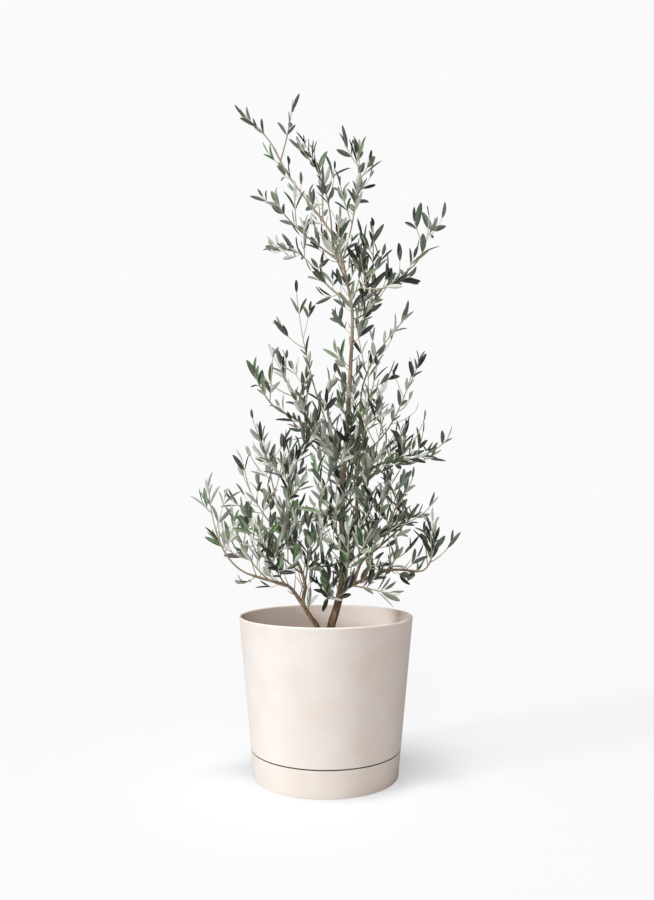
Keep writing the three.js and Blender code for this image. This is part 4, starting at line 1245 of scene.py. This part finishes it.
# The twigs' mesh
# One tube of five sides for every twig, made here because a twig swells where its pairs of leaves
# sit, and ends in a bud. A stem that runs on from the tip of its bough starts inside that tip.
TWIG_SIDES = 5
TWIG_RING_STEP = 9
# share of a stem, from its foot, that has the older skin
OLD_SKIN = 0.6
TWIG_GIRTH = 0.86
NODE_SWELLING = 1.22
STEM_SUNK = 2.5
BUD_LENGTH = 2.5
twig_corners = []
twig_faces = []
twig_tones = []
for mass in masses:
    for twig in mass["twigs"]:
        curve = twig["curve"]
        rings = max(4, round(curve["length"] / TWIG_RING_STEP))
        sunk = STEM_SUNK if twig["order"] == 0 and mass["row"].get("along") == 1 else 0
        across = None
        base = sum(len(part) for part in twig_corners)
        for i in range(rings + 1):
            share = i / rings
            point = place_on(curve, share)
            way = way_on(curve, share)
            if i == 0:
                point = point - way * sunk
            if across is None:
                across = way.orthogonal().normalized()
            across = (across - way * across.dot(way)).normalized()
            other = way.cross(across)
            radius = twig["radius_at"](share) * (TWIG_GIRTH if i else 1)
            if any(abs(share - place) < 0.5 / rings for place in twig["pair_places"]):
                radius *= NODE_SWELLING
            turns = [math.tau * k / TWIG_SIDES for k in range(TWIG_SIDES)]
            twig_corners.append(np.array([
                point + across * (radius * math.cos(t)) + other * (radius * math.sin(t)) for t in turns]))
            for k in range(TWIG_SIDES if i else 0):
                after = (k + 1) % TWIG_SIDES
                low = base + (i - 1) * TWIG_SIDES
                twig_faces.append([low + k, low + after, low + TWIG_SIDES + after, low + TWIG_SIDES + k])
                aged = twig["leafless"] > 1 or twig["order"] == 0 and share < OLD_SKIN
                twig_tones.append(0 if aged else 1)
        last = base + rings * TWIG_SIDES
        bud = place_on(curve, 1) + way_on(curve, 1) * BUD_LENGTH
        twig_corners.append(np.array([bud]))
        for k in range(TWIG_SIDES):
            twig_faces.append([last + k, last + (k + 1) % TWIG_SIDES, last + TWIG_SIDES])
            twig_tones.append(1)
        twig_faces.append([base + k for k in reversed(range(TWIG_SIDES))])
        twig_tones.append(0)
twigs = joined_mesh("Twigs", np.concatenate(twig_corners) * 0.001, twig_faces, twig_tones)


def twig_skin(name, colour, roughness):
    """Skin of a young twig: smooth and dull, one colour all over."""
    material = bpy.data.materials.new(name)
    material.use_nodes = True
    surface = material.node_tree.nodes["Principled BSDF"]
    surface.inputs["Base Color"].default_value = linear(colour)
    surface.inputs["Roughness"].default_value = roughness
    return material


twigs.data.materials.append(twig_skin("Twig_skin_brown", "A99B88", 0.8))
twigs.data.materials.append(twig_skin("Twig_skin_grey_green", "CBC7B3", 0.7))
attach(twigs, "root")
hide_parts(*[row["name"] for row in MASSES])

# The leaves' meshes
# The blades are joined into two pieces, so that each replaces the masses that it has grown from.
# Each leaf has one tone above and one below, dealt by seed, and darkened by painted shade to the right, to
# the top and in the shaded masses.


def leaf_material(name, colour, roughness, coat):
    """Leaf skin: a waxy cuticle above, matte silvery scales below, one colour a leaf."""
    material = bpy.data.materials.new(name)
    material.use_nodes = True
    surface = material.node_tree.nodes["Principled BSDF"]
    surface.inputs["Base Color"].default_value = linear(colour)
    surface.inputs["Roughness"].default_value = roughness
    surface.inputs["Coat Weight"].default_value = coat
    surface.inputs["Coat Roughness"].default_value = LEAF_COAT_ROUGHNESS
    return material


# the upper sides from a near-black painted shade to pale and three greens, then the two undersides and the
# rib
LEAF_TONES = (
    leaf_material("Leaf_cuticle_painted_shade", "1B1C1A", 0.4, 0.15),
    leaf_material("Leaf_cuticle_deep", "363D36", 0.4, 0.15),
    leaf_material("Leaf_cuticle_grey_green", "607063", 0.45, 0.15),
    leaf_material("Leaf_cuticle_sage", "95A591", 0.5, 0.1),
    leaf_material("Leaf_cuticle_pale", "CCD7CD", 0.5, 0.1),
    leaf_material("Leaf_cuticle_deep_green", "2C5430", 0.4, 0.15),
    leaf_material("Leaf_cuticle_fresh", "4F8348", 0.42, 0.15),
    leaf_material("Leaf_cuticle_olive", "728B68", 0.45, 0.15),
    leaf_material("Leaf_scales_silver", "D6DED8", 0.75, 0),
    leaf_material("Leaf_scales_grey", "9FA79D", 0.75, 0),
    leaf_material("Leaf_rib_pale", "C4CFB6", 0.5, 0),
)
# a leaf whose tone or hue is under a step's first number takes the tone in its second place
TONE_STEPS = ((0.29, 0), (0.47, 1), (0.61, 2), (0.79, 3), (1.01, 4))
# the underside follows the tone's painted shade: the most shaded take the grey-green, then the grey, then
# the silver
UNDER_STEPS = ((0.25, 2), (0.5, 9), (1.01, 8))
GREEN_STEPS = ((0.13, 5), (0.2, 6), (0.36, 7))
# the ribs of the two darkest tones, darker as painted shade, and of all the others
RIB_TONES = {0: 2, 1: 9}
PALE_RIB = 10
RIB_WIDTH = 0.07


def upper_tone(leaf):
    """One of the greens, which are commoner on the left, or a grey-green tone by the leaf's shade."""
    for limit, tone in GREEN_STEPS:
        if leaf["hue"] < limit:
            return tone
    return next(tone for limit, tone in TONE_STEPS if leaf["tone"] < limit)


def leaf_mesh(name, chosen):
    """The chosen leaves as one mesh. Each is a thin closed blade with an upper and a lower skin."""
    shares = np.array([share for share, _ in LEAF_OUTLINE])
    widths = np.array([width for _, width in LEAF_OUTLINE])
    stations = len(shares)
    corners = []
    faces = []
    tones = []
    for number, leaf in enumerate(chosen):
        direction = np.array(leaf["direction"])
        face = np.array(leaf["direction"].cross(leaf["across"]))
        length = leaf["length"]
        runs = shares * length
        middle = (np.array(leaf["root"]) + direction * runs[:, None]
                  - face * (leaf["bow"] * length * shares ** 2)[:, None])
        turns = leaf["twist"] * (shares - LEAF_TWIST_FROM)
        across = (np.array(leaf["across"]) * np.cos(turns)[:, None] + face * np.sin(turns)[:, None])
        up = face * np.cos(turns)[:, None] - np.array(leaf["across"]) * np.sin(turns)[:, None]
        half = widths * leaf["width"] / 2
        edge_rise = up * (half * LEAF_FOLD)[:, None]
        rib = up * (LEAF_THICKNESS / 2)
        left = middle - across * half[:, None] + edge_rise
        right = middle + across * half[:, None] + edge_rise
        beside = across * (half * RIB_WIDTH)[:, None]
        tip = np.array(leaf["root"]) + direction * length - face * leaf["bow"] * length
        corners.append(np.stack([left, middle + rib - beside, middle + rib + beside, right, middle - rib],
                                axis=1).reshape(-1, 3))
        corners.append(tip[None, :])
        base = number * (stations * 5 + 1)
        top = upper_tone(leaf)
        rib_tone = RIB_TONES.get(top, PALE_RIB)
        under = next(tone for limit, tone in UNDER_STEPS if leaf["tone"] < limit)
        faces.append([base, base + 1, base + 2, base + 3, base + 4])
        tones.append(under)
        for k in range(stations - 1):
            a = base + k * 5
            b = a + 5
            faces += [[a, b, b + 1, a + 1], [a + 1, b + 1, b + 2, a + 2], [a + 2, b + 2, b + 3, a + 3],
                      [a, a + 4, b + 4, b], [a + 4, a + 3, b + 3, b + 4]]
            tones += [top, rib_tone, top, under, under]
        a = base + (stations - 1) * 5
        end = a + 5
        faces += [[a, end, a + 1], [a + 1, end, a + 2], [a + 2, end, a + 3],
                  [a, a + 4, end], [a + 4, a + 3, end]]
        tones += [top, rib_tone, top, under, under]
    piece = joined_mesh(name, np.concatenate(corners) * 0.001, faces, tones)
    for material in LEAF_TONES:
        piece.data.materials.append(material)
    bpy.ops.object.select_all(action="DESELECT")
    piece.select_set(True)
    bpy.context.view_layer.objects.active = piece
    bpy.ops.object.shade_smooth_by_angle(angle=math.radians(LEAF_SMOOTH_BELOW))
    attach(piece, "root")
    return piece


WAIST = 750
low_masses = [row["name"] for row in MASSES if row["tip"][2] < WAIST]
high_masses = [row["name"] for row in MASSES if row["tip"][2] >= WAIST]
lower_leaves = leaf_mesh("Leaves_lower_crown", [leaf for leaf in leaves if leaf["height"] < WAIST])
upper_leaves = leaf_mesh("Leaves_upper_crown", [leaf for leaf in leaves if leaf["height"] >= WAIST])
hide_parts(*low_masses)
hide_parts(*high_masses)

# The model's box before and after dressing
low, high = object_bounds()
